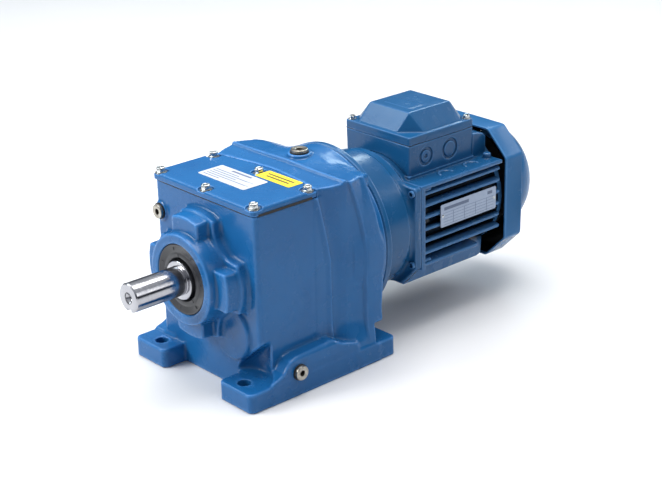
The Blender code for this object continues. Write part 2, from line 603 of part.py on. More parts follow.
shield = turned("drive_end_shield", AXIS, [
    (26.3, 117.5), (20.0, 117.5), (20.0, 110.0), (68.0, 104.0), (68.0, 88.4),
    (FLANGE_R, 88.4), (FLANGE_R, 94.5), (FLANGE_R - 2.0, FLANGE_REAR), (BARREL_R, FLANGE_REAR),
    (BARREL_R, 150.0), (62.0, 150.0), (62.0, 156.6), (58.5, 156.6), (58.5, 124.0), (34.0, 118.0),
    (34.0, 133.4), (26.3, 133.4)], 36, "motor_paint")
plate_outline = [(FRAME_HALF, 72.0), (FRAME_HALF, 162.0), (-FRAME_HALF, 162.0), (-FRAME_HALF, 72.0),
                 (-62.0, 59.0), (-FRAME_ARM, 49.0), (FRAME_ARM, 49.0), (62.0, 59.0)]
plate = prism("drive_end_plate", plate_outline, "Y", BARREL_REAR, PLATE_REAR)
cut(plate, prism("drive_end_plate_hole", circle(*AXIS, 60.2, 40, 0.031), "Y", 140.0, 165.0))
join(shield, plate)

frame = prism("stator_frame", frame_outline(FRAME_HALF, FRAME_ARM), "Y", PLATE_REAR + 0.3, FRAME_REAR,
              "motor_paint")
slot_tools = []
bm = bmesh.new()
edges = list(FIN_Z)
for upper, lower in zip(edges, edges[1:]):
    a, b = upper - FIN_THICK / 2, lower + FIN_THICK / 2
    middle = (a + b) / 2 - SHAFT_HEIGHT
    root = math.sqrt(max(0.0, 66.0 ** 2 - (abs(middle) + 4.8) ** 2))
    for side in (-1, 1):
        outline = [(side * root, b), (side * 80.0, b - 0.4), (side * 80.0, a + 0.4), (side * root, a)]
        add_loft(bm, [along(outline, "Y", y) for y in (SLOT_FRONT, FRAME_REAR + 5)])
side_slots = finish("frame_side_slots", bm)
top_slot_a, top_slot_b = FRAME_ARM + SHAFT_HEIGHT - 4.0, FIN_Z[0] + FIN_THICK / 2
bm = bmesh.new()
for side in (-1, 1):
    add_loft(bm, [along([(side * 55.0, top_slot_b), (side * 80.0, top_slot_b), (side * 80.0, top_slot_a),
                         (side * 55.0, top_slot_a)], "Y", y) for y in (SLOT_FRONT, FRAME_REAR + 5)])
top_slots = finish("frame_shelf_slots", bm)
bm = bmesh.new()
pitch = 2 * (FRAME_ARM - FIN_THICK) / 6
for i in range(6):
    a = -FRAME_ARM + FIN_THICK + pitch * i
    b = a + pitch - FIN_THICK
    middle = max(abs(a), abs(b))
    root = SHAFT_HEIGHT - math.sqrt(66.0 ** 2 - middle ** 2)
    add_loft(bm, [along([(a, root), (b, root), (b - 0.4, 30.0), (a + 0.4, 30.0)], "Y", y)
                  for y in (SLOT_FRONT, FRAME_REAR + 5)])
bottom_slots = finish("frame_bottom_slots", bm)
box_pad = box("terminal_box_pad", -BOX_HALF - 0.6, BOX_FRONT - 1.0, SHAFT_HEIGHT + 40.0,
              BOX_HALF + 0.6, BOX_REAR + 1.0, BOX_FLOOR - 0.3)
rear_pad_side = [(262.0, 155.0), (283.0, 155.0), (283.0, 184.0), (278.0, 187.5), (262.0, 189.5)]
rear_pad = prism("terminal_box_rear_pad", rear_pad_side, "X", -47.0, 47.0)
join(frame, box_pad, rear_pad, cylinder("frame_round", AXIS, FRAME_ROUND_R, PLATE_REAR + 0.3, FRAME_REAR, 40))
cut(frame, side_slots, top_slots, bottom_slots,
    cylinder("stator_bore", AXIS, 60.3, 150.0, 300.0, 40),
    box("lead_passage", -14.0, 205.0, 165.0, 14.0, 225.0, 190.0))

SCREWS = {"upper_right": (1, 41.0), "lower_right": (1, -38.6),
          "upper_left": (-1, 41.0), "lower_left": (-1, -38.6)}
for place, (side, dz) in SCREWS.items():
    centre = (side * 69.8, SHAFT_HEIGHT + dz)
    hole = cylinder(f"shield_screw_hole_{place}", centre, 2.3, 140.0, 169.0, 8)
    cut(shield, hole)
    cut(frame, hole)
    screw = cylinder(f"shield_screw_{place}", centre, 3.7, BARREL_REAR - 3.2, BARREL_REAR - 0.2, 12,
                     slot="motor_paint")
    join(screw, cylinder(f"shield_screw_shank_{place}", centre, 1.9, BARREL_REAR - 1.0, 173.0, 8))
    cut(screw, cylinder(f"shield_screw_socket_{place}", centre, 2.2, BARREL_REAR - 8.0, BARREL_REAR - 1.4,
                        6))

core = ring("stator_core", AXIS, 36.0, 60.0, 175.0, 255.0, 36, "lamination")
bm = bmesh.new()
for i in range(18):
    a = 2 * math.pi * (i + 0.5) / 18
    across, out = Vector((-math.sin(a), 0, math.cos(a))), Vector((math.cos(a), 0, math.sin(a)))
    base = Vector((0, 0, SHAFT_HEIGHT))
    rings = []
    for y in (170.0, 260.0):
        rings.append([base + out * r + across * w + Vector((0, y, 0))
                      for r, w in ((34.0, -1.4), (50.0, -3.6), (50.0, 3.6), (34.0, 1.4))])
    add_loft(bm, rings)
cut(core, finish("stator_slots", bm))
for place, low, high in (("drive_end", 161.0, 174.6), ("fan_end", 255.4, 272.0)):
    turned(f"winding_head_{place}", AXIS, [
        (39.0, low + 3), (43.0, low), (52.0, low), (56.0, low + 3), (56.0, high), (39.0, high)],
        24, "copper")

motor_shaft = turned("motor_shaft", AXIS, shaft_profile([
    (7.2, 36.0, 36.0), (8.0, 36.8, 65.5), (12.4, 65.5, 133.6), (15.5, 133.6, 172.0), (16.0, 172.0, 258.0),
    (13.0, 258.0, 285.5), (9.85, 285.5, 330.0)]), 24, "ground_steel", ROTOR_TURNS)
motor_pinion = gear("motor_pinion", AXIS, PINION_1, TO_LAY, 1, *STAGE_1, "gear_steel", ROTOR_TURNS)
cut(motor_pinion, cylinder("motor_pinion_bore", AXIS, 8.25, 30.0, 75.0, 20))
turned("rotor_cage_core", AXIS, [
    (16.3, 175.0), (28.0, 175.0), (28.0, 168.0), (34.0, 168.0), (34.0, 175.0), (35.4, 175.0),
    (35.4, 255.0), (34.0, 255.0), (34.0, 262.0), (28.0, 262.0), (28.0, 255.0), (16.3, 255.0)],
    28, "lamination", ROTOR_TURNS)
bearing("motor_drive_bearing", AXIS, 12.6, 25.95, 118.2, 133.2, ROTOR_TURNS, 0, 24)
bearing("motor_fan_bearing", AXIS, 10.1, 23.45, 286.0, 299.6, ROTOR_TURNS, 0, 24)

turned("fan_end_shield", AXIS, [
    (23.8, 285.7), (27.5, 285.7), (27.5, 288.4), (57.5, FRAME_REAR + 0.3), (57.5, 281.0), (60.0, 281.0),
    (60.0, FRAME_REAR + 0.3), (66.0, FRAME_REAR + 0.3), (66.0, 290.0), (30.0, 294.0), (30.0, 300.5),
    (13.0, 300.5), (13.0, 300.0), (23.8, 300.0)], 28, "motor_paint")

fan_hub = turned("cooling_fan", AXIS, [
    (10.2, 306.0), (18.0, 306.0), (18.0, 309.0), (60.0, 309.0), (60.0, 311.5), (18.0, 311.5), (18.0, 326.0),
    (10.2, 326.0)], 24, "plastic", ROTOR_TURNS)
for i in range(7):
    a = 2 * math.pi * i / 7 + 0.2
    across, out = Vector((-math.sin(a), 0, math.cos(a))), Vector((math.cos(a), 0, math.sin(a)))
    base = Vector((0, 0, SHAFT_HEIGHT))
    rings = []
    for y in (310.5, 326.0):
        rings.append([base + out * r + across * w + Vector((0, y, 0))
                      for r, w in ((16.5, -1.2), (58.0, -1.2), (58.0, 1.2), (16.5, 1.2))])
    bm = bmesh.new()
    add_loft(bm, rings)
    join(fan_hub, finish(f"fan_blade_{i + 1}", bm))


# ---------------------------------------------------------------- fan cowl
def octagon_to_round(half, corner, radius, blend):
    """Outline between an octagon and a circle, 32 points."""
    points = []
    for i in range(32):
        a = 2 * math.pi * i / 32
        c, s = math.cos(a), math.sin(a)
        flat = half / max(abs(c), abs(s))
        diagonal = (half + corner) / (abs(c) + abs(s))
        octagon = min(flat, diagonal)
        r = octagon * (1 - blend) + radius * blend
        points.append((r * c, SHAFT_HEIGHT + r * s))
    return points


def cowl_shell(name, wall, front, end, slot=None):
    half, corner = COWL_HALF - wall, COWL_CORNER - wall * 0.4
    stations = ((front, 0.0, 80.0), (COWL_STEP - wall * 0.3, 0.0, 80.0),
                (COWL_STEP + 4.5 - wall * 0.5, 0.85, 68.0),
                (COWL_STEP + 20.0 - wall * 0.6, 1.0, 64.0), (end - 8.0, 1.0, 57.5), (end, 1.0, COWL_END_R))
    bm = bmesh.new()
    add_loft(bm, [along(octagon_to_round(half, corner, radius - wall, blend), "Y", y)
                  for y, blend, radius in stations])
    return finish(name, bm, slot)


cowl = cowl_shell("fan_cowl", 0.0, COWL_FRONT, COWL_END, "motor_paint")
cut(cowl, cowl_shell("fan_cowl_inside", 1.8, COWL_FRONT - 10.0, COWL_END - 1.8))
bm = bmesh.new()
for row in range(3):
    radius = 12.0 + 15.0 * row
    count = (6, 12, 18)[row]
    for i in range(count):
        if i % 2:
            continue
        turns = [2 * math.pi * (i + part) / count for part in (0.18, 0.9, 1.62)]
        outline = [(r * math.cos(a), r * math.sin(a) + SHAFT_HEIGHT)
                   for r, order in ((radius - 3.2, turns), (radius + 3.2, turns[::-1])) for a in order]
        add_loft(bm, [along(outline, "Y", y) for y in (COWL_END - 6.0, COWL_END + 5.0)])
cut(cowl, finish("fan_cowl_air_slots", bm))

# ---------------------------------------------------------------- terminal box
terminal_box = box("terminal_box", -BOX_HALF, BOX_FRONT, BOX_FLOOR, BOX_HALF, BOX_REAR, BOX_TOP,
                   "motor_paint")
cut(terminal_box,
    box("terminal_box_inside", -BOX_HALF + 3.5, BOX_FRONT + 3.5, BOX_INSIDE,
        BOX_HALF - 3.5, BOX_REAR - 3.5, BOX_TOP + 5.0),
    cylinder("terminal_box_saddle", AXIS, FRAME_ROUND_R + 0.5, BOX_FRONT - 10, BOX_REAR + 10, 40),
    box("terminal_box_lead_hole", -13.0, 206.0, BOX_FLOOR + 5.0, 13.0, 224.0, BOX_INSIDE + 8.0))
gasket_box = box("terminal_box_gasket", -BOX_HALF + 0.4, BOX_FRONT + 0.4, BOX_TOP + 0.15,
                 BOX_HALF - 0.4, BOX_REAR - 0.4, BOX_TOP + 0.75, "gasket")
cut(gasket_box, box("terminal_box_gasket_window", -BOX_HALF + 4.5, BOX_FRONT + 4.5, BOX_TOP - 5,
                    BOX_HALF - 4.5, BOX_REAR - 4.5, BOX_TOP + 5))


def lid_shape(name, inset, bottom, slot=None):
    half, y0, y1 = BOX_HALF - inset, BOX_FRONT + inset, BOX_REAR - inset
    top, ty0, ty1 = LID_TOP_HALF - inset * 0.5, LID_TOP_Y[0] + inset * 0.5, LID_TOP_Y[1] - inset * 0.5
    levels = ((bottom, half, y0, y1), (LID_RIM_TOP - inset * 0.6, half, y0, y1),
              (LID_TOP - inset, top, ty0, ty1))
    bm = bmesh.new()
    add_loft(bm, [along([(-h, a), (h, a), (h, b), (-h, b)], "Z", z) for z, h, a, b in levels])
    return finish(name, bm, slot)


lid = lid_shape("terminal_box_lid", 0.0, BOX_TOP + 0.9, "motor_paint")
cut(lid, lid_shape("terminal_box_lid_inside", 3.0, BOX_TOP - 5.0))
block = box("terminal_block", -24.0, 184.0, BOX_INSIDE + 0.3, 24.0, 203.0, BOX_INSIDE + 9.0, "plastic")
join(block, *[cylinder(f"terminal_stud_{i + 1}", (14.0 * (i % 3) - 14.0, 188.5 + 10.0 * (i // 3)), 2.0,
                       BOX_INSIDE + 8.0, BOX_INSIDE + 20.0, 8, "Z") for i in range(6)])

box("motor_nameplate", FRAME_HALF + 0.3, 184.5, 109.2, FRAME_HALF + 1.2, 270.5, 134.8, "plate")
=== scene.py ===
"""Finished look of the foot-mounted in-line gear reducer with its motor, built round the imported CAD."""

import functools
import itertools
import json
import math

import bmesh
import bpy
import numpy as np
from mathutils import Matrix, Vector


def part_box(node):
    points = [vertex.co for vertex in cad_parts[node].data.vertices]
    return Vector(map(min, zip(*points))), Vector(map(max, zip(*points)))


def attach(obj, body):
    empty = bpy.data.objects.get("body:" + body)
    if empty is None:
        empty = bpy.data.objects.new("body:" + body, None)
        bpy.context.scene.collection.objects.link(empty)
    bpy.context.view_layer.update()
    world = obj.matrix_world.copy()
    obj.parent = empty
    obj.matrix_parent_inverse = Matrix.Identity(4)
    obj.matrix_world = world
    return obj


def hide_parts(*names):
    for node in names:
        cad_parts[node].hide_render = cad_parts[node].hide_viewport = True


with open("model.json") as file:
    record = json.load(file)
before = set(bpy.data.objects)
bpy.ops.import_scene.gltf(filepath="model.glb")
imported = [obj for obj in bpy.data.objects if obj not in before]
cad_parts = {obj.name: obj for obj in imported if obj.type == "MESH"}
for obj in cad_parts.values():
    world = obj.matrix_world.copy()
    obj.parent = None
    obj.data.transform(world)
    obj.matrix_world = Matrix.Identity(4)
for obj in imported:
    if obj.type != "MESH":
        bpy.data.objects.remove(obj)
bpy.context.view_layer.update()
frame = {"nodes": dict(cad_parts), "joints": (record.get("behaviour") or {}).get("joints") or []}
scene = bpy.context.scene

MM = 0.001
JOINTS = {joint["name"]: joint for joint in frame["joints"]}


def node_box(node):
    """Lowest and highest corner of a CAD node, in millimetres."""
    low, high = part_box(node)
    return np.array(low) / MM, np.array(high) / MM


AXIS_Z = round((node_box("output_shaft")[0][2] + node_box("output_shaft")[1][2]) / 2, 3)
HOUSING_LOW, HOUSING_HIGH = node_box("gearbox_housing")
COVER_LOW, COVER_HIGH = node_box("inspection_cover")
SHIELD_LOW, SHIELD_HIGH = node_box("drive_end_shield")
FRAME_LOW, FRAME_HIGH = node_box("stator_frame")
COWL_LOW, COWL_HIGH = node_box("fan_cowl")
BOX_LOW, BOX_HIGH = node_box("terminal_box")
LID_LOW, LID_HIGH = node_box("terminal_box_lid")


# ---- materials
def new_material(name):
    """Material with its node tree and its Principled shader."""
    made = bpy.data.materials.new(name)
    made.use_nodes = True
    return made, made.node_tree, made.node_tree.nodes["Principled BSDF"]


def fed(tree, socket, value):
    """Links a socket to the input, or gives it a fixed value."""
    if isinstance(value, bpy.types.NodeSocket):
        tree.links.new(value, socket)
    else:
        socket.default_value = value


def added(tree, kind, **inputs):
    """New shader node with its named inputs set."""
    node = tree.nodes.new("ShaderNode" + kind)
    for name, value in inputs.items():
        fed(tree, node.inputs[name.replace("_", " ")], value)
    return node


def coordinates(tree, stretch=(1, 1, 1)):
    """Place on the object in metres, scaled by stretch along each axis."""
    place = tree.nodes.new("ShaderNodeTexCoord").outputs["Object"]
    return added(tree, "Mapping", Vector=place, Scale=stretch).outputs["Vector"]


def noise(tree, vector, scale, detail=3.0, roughness=0.5):
    node = added(tree, "TexNoise", Vector=vector, Scale=scale, Detail=detail, Roughness=roughness)
    return node.outputs["Fac"]


def ramp(tree, value, stops):
    """Colour that runs through the stops, each a place from 0 to 1 and a colour."""
    node = added(tree, "ValToRGB", Fac=value)
    while len(node.color_ramp.elements) < len(stops):
        node.color_ramp.elements.new(0.5)
    for element, (at, colour) in zip(node.color_ramp.elements, stops):
        element.position = at
        element.color = (*colour, 1.0)
    return node.outputs["Color"]


def span(tree, value, low, high, to_low, to_high):
    """Value moved from the range low to high onto another range, and held at its ends."""
    node = added(tree, "MapRange", Value=value, From_Min=low, From_Max=high, To_Min=to_low, To_Max=to_high)
    return node.outputs["Result"]


def mixed(tree, factor, first, second):
    """Colour between two colours; each argument is a socket or fixed."""
    node = tree.nodes.new("ShaderNodeMix")
    node.data_type = "RGBA"
    fed(tree, node.inputs[0], factor)
    for socket, colour in ((node.inputs[6], first), (node.inputs[7], second)):
        fed(tree, socket, (*colour, 1.0) if isinstance(colour, tuple) else colour)
    return node.outputs[2]


def computed(tree, operation, first, second):
    """Result of one sum on two sockets."""
    node = tree.nodes.new("ShaderNodeMath")
    node.operation = operation
    tree.links.new(first, node.inputs[0])
    tree.links.new(second, node.inputs[1])
    return node.outputs[0]


def vector_computed(tree, kind, outlet, *vectors):
    """Vector sum done by one node; each vector is a socket or a fixed triple."""
    node = tree.nodes.new("ShaderNodeVectorMath")
    node.operation = kind
    for socket, value in zip(node.inputs, vectors):
        fed(tree, socket, value)
    return node.outputs[outlet]


def from_axis(tree):
    """Vector from the motor axis to the shaded point, with no part along Y."""
    return vector_computed(tree, "MULTIPLY_ADD", "Vector", coordinates(tree), (1, 0, 1),
                           (0, 0, -AXIS_Z * MM))


def separated(tree):
    """X, Y and Z of the shaded point, in metres."""
    return added(tree, "SeparateXYZ", Vector=coordinates(tree)).outputs


def surface(tree, shader, colour, roughness):
    tree.links.new(colour, shader.inputs["Base Color"])
    tree.links.new(roughness, shader.inputs["Roughness"])


def shade_of(colour, share):
    return tuple(share * c for c in colour)


def bump(tree, shader, height, distance, strength, after=None):
    """Relief of the given height, laid over an earlier relief if there is one."""
    node = added(tree, "Bump", Distance=distance, Strength=strength, Height=height)
    if after is not None:
        tree.links.new(after, node.inputs["Normal"])
    tree.links.new(node.outputs["Normal"], shader.inputs["Normal"])
    return node.outputs["Normal"]


def paint(name, colour, shade, dust, grain, coarse, roughness, fin_shade_reach=None):
    """Glossy sprayed paint: colour drift, dust specks, painted shade in hollows, painted edge highlights,
    orange peel.
    Nearer to the motor axis than the given radius, painted shade darkens the spaces between fins."""
    made, tree, shader = new_material(name)
    place = coordinates(tree)
    drift = noise(tree, place, 14.0, 4.0, 0.6)
    base = mixed(tree, span(tree, drift, 0.35, 0.7, 0.0, 1.0), colour, shade)
    specks = span(tree, noise(tree, place, 900.0, 2.0, 0.6), 0.66, 0.74, 0.0, 0.35)
    base = mixed(tree, specks, base, dust)
    hollow = tree.nodes.new("ShaderNodeNewGeometry").outputs["Pointiness"]
    # painted shade: hollows and creases are darkened towards a third of the colour
    crease_shade = span(tree, hollow, 0.44, 0.495, 0.55, 0.0)
    base = mixed(tree, crease_shade, base, shade_of(colour, 0.30))
    # painted highlight: sharp convex edges are lightened
    edge = span(tree, hollow, 0.508, 0.55, 0.0, 0.55)
    base = mixed(tree, edge, base, tuple(min(1.0, 1.7 * c + 0.06) for c in colour))
    if fin_shade_reach:
        # painted shade: between the fins, near the axis, behind the front plate and below the shelf, near
        # black
        reach = vector_computed(tree, "LENGTH", "Value", from_axis(tree))
        _, along, height = separated(tree)
        deep = span(tree, reach, fin_shade_reach * MM, (fin_shade_reach + 5.0) * MM, 1.0, 0.0)
        behind = span(tree, along, 0.160, 0.166, 0.0, 1.0)
        below = span(tree, height, 0.1565, 0.1555, 0.0, 1.0)
        between = computed(tree, "MULTIPLY", computed(tree, "MULTIPLY", deep, behind), below)
        base = mixed(tree, between, base, shade_of(colour, 0.06))
    gloss = span(tree, noise(tree, place, 60.0, 4.0), 0.3, 0.7, roughness - 0.06, roughness + 0.1)
    surface(tree, shader, base, gloss)
    first = bump(tree, shader, noise(tree, place, coarse, 3.0, 0.55), 0.0006, grain)
    bump(tree, shader, noise(tree, place, 1300.0, 2.0, 0.5), 0.00008, grain, first)
    shader.inputs["Specular IOR Level"].default_value = 0.24
    shader.inputs["Coat Weight"].default_value = 0.10
    shader.inputs["Coat Roughness"].default_value = 0.10
    return made


def darkened_inside(material, y_from):
    """Makes the faces that look towards the motor axis, behind a plane, near black and matt: painted shade
    inside.
    """
    tree = material.node_tree
    shader = tree.nodes["Principled BSDF"]
    normal = tree.nodes.new("ShaderNodeNewGeometry").outputs["Normal"]
    facing = vector_computed(tree, "DOT_PRODUCT", "Value", from_axis(tree), normal)
    inward = span(tree, facing, -0.004, -0.001, 1.0, 0.0)
    behind = span(tree, separated(tree)[1], y_from, y_from + 0.001, 0.0, 1.0)
    hidden = computed(tree, "MULTIPLY", inward, behind)
    painted, gloss = (shader.inputs[name].links[0].from_socket for name in ("Base Color", "Roughness"))
    surface(tree, shader, mixed(tree, hidden, painted, (0.004, 0.005, 0.007)),
            computed(tree, "MAXIMUM", gloss, hidden))


def metal(name, light, dark, roughness, stretch, scale, grain):
    """Turned or ground metal, with marks stretched along one direction."""
    made, tree, shader = new_material(name)
    place = coordinates(tree, stretch)
    marks = noise(tree, place, scale, 4.0, 0.65)
    patches = noise(tree, coordinates(tree), 40.0, 3.0)
    surface(tree, shader, mixed(tree, span(tree, marks, 0.3, 0.7, 0.0, 1.0), light, dark),
            span(tree, patches, 0.3, 0.7, roughness - 0.06, roughness + 0.12))
    bump(tree, shader, marks, 0.00005, grain)
    shader.inputs["Metallic"].default_value = 1.0
    return made


def matt(name, light, dark, roughness, scale, grain, coat=0.0):
    """Rubber, paper or plastic with fine marks."""
    made, tree, shader = new_material(name)
    place = coordinates(tree)
    marks = noise(tree, place, scale, 4.0, 0.6)
    surface(tree, shader, mixed(tree, span(tree, marks, 0.35, 0.68, 0.0, 1.0), light, dark),
            span(tree, marks, 0.3, 0.7, roughness - 0.05, roughness + 0.08))
    bump(tree, shader, marks, 0.0001, grain)
    shader.inputs["Coat Weight"].default_value = coat
    return made


def ruled_label(name, paper, ink, low, high, across, along, bars):
    """Printed sheet with plain ruled bars and no lettering; bars are fractions of its width and height."""
    made, tree, shader = new_material(name)
    sides = separated(tree)
    u = span(tree, sides[across], low[across] * MM, high[across] * MM, 0.0, 1.0)
    v = span(tree, sides[along], low[along] * MM, high[along] * MM, 0.0, 1.0)

    def inside(value, a, b):
        node = tree.nodes.new("ShaderNodeMath")
        node.operation = "COMPARE"
        node.inputs[1].default_value = (a + b) / 2
        node.inputs[2].default_value = (b - a) / 2
        tree.links.new(value, node.inputs[0])
        return node.outputs[0]

    colour = mixed(tree, span(tree, noise(tree, coordinates(tree), 120.0), 0.3, 0.7, 0.0, 1.0),
                   paper, shade_of(paper, 0.93))
    for left, right, bottom, top in bars:
        bar = computed(tree, "MULTIPLY", inside(u, left, right), inside(v, bottom, top))
        colour = mixed(tree, bar, colour, ink)
    surface(tree, shader, colour, span(tree, noise(tree, coordinates(tree), 300.0), 0.3, 0.7, 0.32, 0.48))
    return made


GEARBOX_PAINT = paint("gearbox_enamel", (0.011, 0.114, 0.310), (0.009, 0.094, 0.268), (0.03, 0.16, 0.36),
                      0.22, 240.0, 0.22)
MOTOR_PAINT = paint("motor_enamel", (0.009, 0.084, 0.215), (0.008, 0.070, 0.180), (0.03, 0.13, 0.26),
                    0.20, 300.0, 0.20)
# fin enamel: painted shade in the fin gaps within 67.2 mm of the axis
FRAME_PAINT = paint("fin_enamel", (0.009, 0.080, 0.205), (0.008, 0.066, 0.172), (0.03, 0.12, 0.25),
                    0.20, 300.0, 0.22, 67.2)
SHEET_PAINT = paint("sheet_enamel", (0.011, 0.100, 0.250), (0.010, 0.086, 0.220), (0.03, 0.14, 0.29),
                    0.08, 160.0, 0.20)
# painted shade: the inside of the fan cowl is drawn near black
darkened_inside(SHEET_PAINT, COWL_LOW[1] * MM + 0.004)
sheet_shader = SHEET_PAINT.node_tree.nodes["Principled BSDF"]
sheet_shader.inputs["Specular IOR Level"].default_value = 0.10
sheet_shader.inputs["Coat Weight"].default_value = 0.03
GROUND = metal("turned_shaft_steel", (0.46, 0.46, 0.48), (0.36, 0.36, 0.39), 0.12, (30, 900, 30), 1.0, 0.12)
GEAR = metal("gear_tooth_steel", (0.50, 0.50, 0.52), (0.36, 0.36, 0.38), 0.30, (60, 60, 60), 4.0, 0.3)
BEARING = metal("bearing_ring_steel", (0.76, 0.76, 0.78), (0.66, 0.66, 0.68), 0.14, (50, 900, 50), 1.0, 0.2)
ZINC = metal("zinc_plating", (0.62, 0.64, 0.63), (0.40, 0.43, 0.44), 0.22, (300, 300, 300), 1.0, 0.3)
NICKEL = metal("nickel_plating", (0.50, 0.47, 0.41), (0.30, 0.28, 0.24), 0.30, (250, 250, 250), 1.0, 0.3)
RUBBER = matt("seal_nitrile", (0.014, 0.015, 0.019), (0.026, 0.027, 0.032), 0.42, 500.0, 0.5, 0.1)
GASKET = matt("gasket_paper", (0.012, 0.012, 0.013), (0.028, 0.027, 0.026), 0.72, 500.0, 0.6)
LAMINATION = metal("stacked_lamination", (0.30, 0.31, 0.33), (0.16, 0.17, 0.18), 0.42, (8, 1500, 8),
                   1.0, 0.8)
COPPER = metal("enamelled_copper", (0.78, 0.34, 0.14), (0.50, 0.18, 0.07), 0.30, (700, 60, 700), 1.0, 0.9)
PLASTIC = matt("moulded_black_plastic", (0.016, 0.016, 0.017), (0.028, 0.028, 0.030), 0.38, 300.0, 0.4)

# ---- pieces

def dress(obj, body, slot, material, *stands_for):
    """Gives a piece its finish and its body, and hides the CAD nodes it stands for; the slot is not used.
    """
    obj.data.materials.clear()
    obj.data.materials.append(material)
    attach(obj, body)
    if stands_for:
        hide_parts(*stands_for)
    return obj


def in_scene(name, data):
    obj = bpy.data.objects.new(name, data)
    scene.collection.objects.link(obj)
    return obj


def from_bmesh(name, bm):
    """Flat-shaded object from faces given in millimetres."""
    bmesh.ops.recalc_face_normals(bm, faces=bm.faces)
    mesh = bpy.data.meshes.new(name)
    for vertex in bm.verts:
        vertex.co *= MM
    bm.to_mesh(mesh)
    bm.free()
    return in_scene(name, mesh)


def soften(obj, width, segments):
    """Rounds the edges, with shading that keeps the flats flat."""
    edge = obj.modifiers.new("rounding", "BEVEL")
    edge.width = width * MM
    edge.segments = segments
    edge.limit_method = "ANGLE"
    edge.angle_limit = math.radians(35.0)
    edge.harden_normals = True
    return obj


def weighted(obj):
    flats = obj.modifiers.new("flats", "WEIGHTED_NORMAL")
    flats.keep_sharp = True
    return obj


def evaluated(obj):
    """The object's mesh with its modifiers applied."""
    return bpy.data.meshes.new_from_object(obj.evaluated_get(bpy.context.evaluated_depsgraph_get()))


def joined(name, parts):
    """One object from several, with their modifiers applied."""
    bm = bmesh.new()
    for part in parts:
        bm.from_mesh(evaluated(part))
    mesh = bpy.data.meshes.new(name)
    bm.to_mesh(mesh)
    bm.free()
    for part in parts:
        bpy.data.objects.remove(part)
    return in_scene(name, mesh)


def placed(outline, axis, at):
    """Flat outline set in space, square to an axis."""
    if axis == "X":
        return [(at, a, b) for a, b in outline]
    if axis == "Y":
        return [(a, at, b) for a, b in outline]
    return [(a, b, at) for a, b in outline]


def loft(name, rings):
    """Skin through rings of equal count, with a cap at each end."""
    bm = bmesh.new()
    rows = [[bm.verts.new(Vector(p)) for p in ring] for ring in rings]
    count = len(rows[0])
    for low, high in zip(rows, rows[1:]):
        for i in range(count):
            j = (i + 1) % count
            bm.faces.new((low[i], low[j], high[j], high[i]))
    bm.faces.new(rows[0][::-1])
    bm.faces.new(rows[-1])
    return from_bmesh(name, bm)


def circle(cx, cy, radius, count, turn=0.0):
    return [(cx + radius * math.cos(math.tau * i / count + turn),
             cy + radius * math.sin(math.tau * i / count + turn)) for i in range(count)]


def from_face(face, steps, outward=1):
    """Turned profile told from a face: each radius, and how far outside the face it lies."""
    return [(radius, face + outward * out) for radius, out in steps]


def lathe(name, centre, axis, profile, count, closed=False):
    """Turned body from radii and places along the axis; a solid starts and ends at radius 0, a ring is
    closed from its last point to its first."""
    bm = bmesh.new()
    rings = []
    for radius, at in profile:
        if radius == 0:
            outline = [centre]
        else:
            outline = circle(*centre, radius, count)
        rings.append([bm.verts.new(p) for p in placed(outline, axis, at)])
    for low, high in zip(rings, rings[1:] + (rings[:1] if closed else [])):
        for i in range(count):
            j = (i + 1) % count
            corners = (low[i % len(low)], low[j % len(low)], high[j % len(high)], high[i % len(high)])
            different = list(dict.fromkeys(corners))
            if len(different) > 2:
                bm.faces.new(different)
    return from_bmesh(name, bm)


def radial_bar(name, a, near, far, half_width, front, rear):
    """Small box that points away from the shaft axis at the angle a."""
    c, s = math.cos(a), math.sin(a)
    corners = ((-half_width, near), (half_width, near), (half_width, far), (-half_width, far))
    ends = [[(c * r - s * w, y, AXIS_Z + s * r + c * w) for w, r in corners] for y in (front, rear)]
    return loft(name, ends)


def crisp(obj, angle=32.0):
    """Smooth shading that stops at edges steeper than the angle."""
    bm = bmesh.new()
    bm.from_mesh(obj.data)
    for edge in bm.edges:
        edge.smooth = len(edge.link_faces) != 2 or edge.calc_face_angle(0) < math.radians(angle)
    bm.to_mesh(obj.data)
    bm.free()
    obj.data.polygons.foreach_set("use_smooth", [True] * len(obj.data.polygons))
    return obj


# ---- solid shapes as distance fields
def either(*shapes):
    """All of the shapes together."""
    return functools.reduce(np.minimum, shapes)


def both(*shapes):
    """Only what lies in every shape."""
    return functools.reduce(np.maximum, shapes)


def join(a, b, k):
    """Two shapes joined with a fillet of about the size k."""
    h = np.clip(0.5 + 0.5 * (b - a) / k, 0, 1)
    return b + (a - b) * h - k * h * (1 - h)


def meet(a, b, k):
    """What lies in both shapes, with its edge rounded by about k."""
    return -join(-a, -b, k)


def slab(v, low, high):
    return np.abs(v - (low + high) / 2) - (high - low) / 2


def rounded_rect(u, v, u0, u1, v0, v1, radius):
    qu = np.abs(u - (u0 + u1) / 2) - (u1 - u0) / 2 + radius
    qv = np.abs(v - (v0 + v1) / 2) - (v1 - v0) / 2 + radius
    return np.hypot(np.maximum(qu, 0), np.maximum(qv, 0)) + np.minimum(np.maximum(qu, qv), 0) - radius


def disc(u, v, cu, cv, radius):
    return np.hypot(u - cu, v - cv) - radius


def rod(u, v, at, radius, w, low, high):
    """Round bar or bore that runs along w from low to high."""
    return both(disc(u, v, *at, radius), slab(w, low, high))


def around_axis(x, z):
    """Distance from the shaft axis, across and level."""
    return np.abs(x), z - AXIS_Z, np.hypot(x, z - AXIS_Z)


def eased(v, low, high):
    t = np.clip((v - low) / (high - low), 0, 1)
    return t * t * (3 - 2 * t)


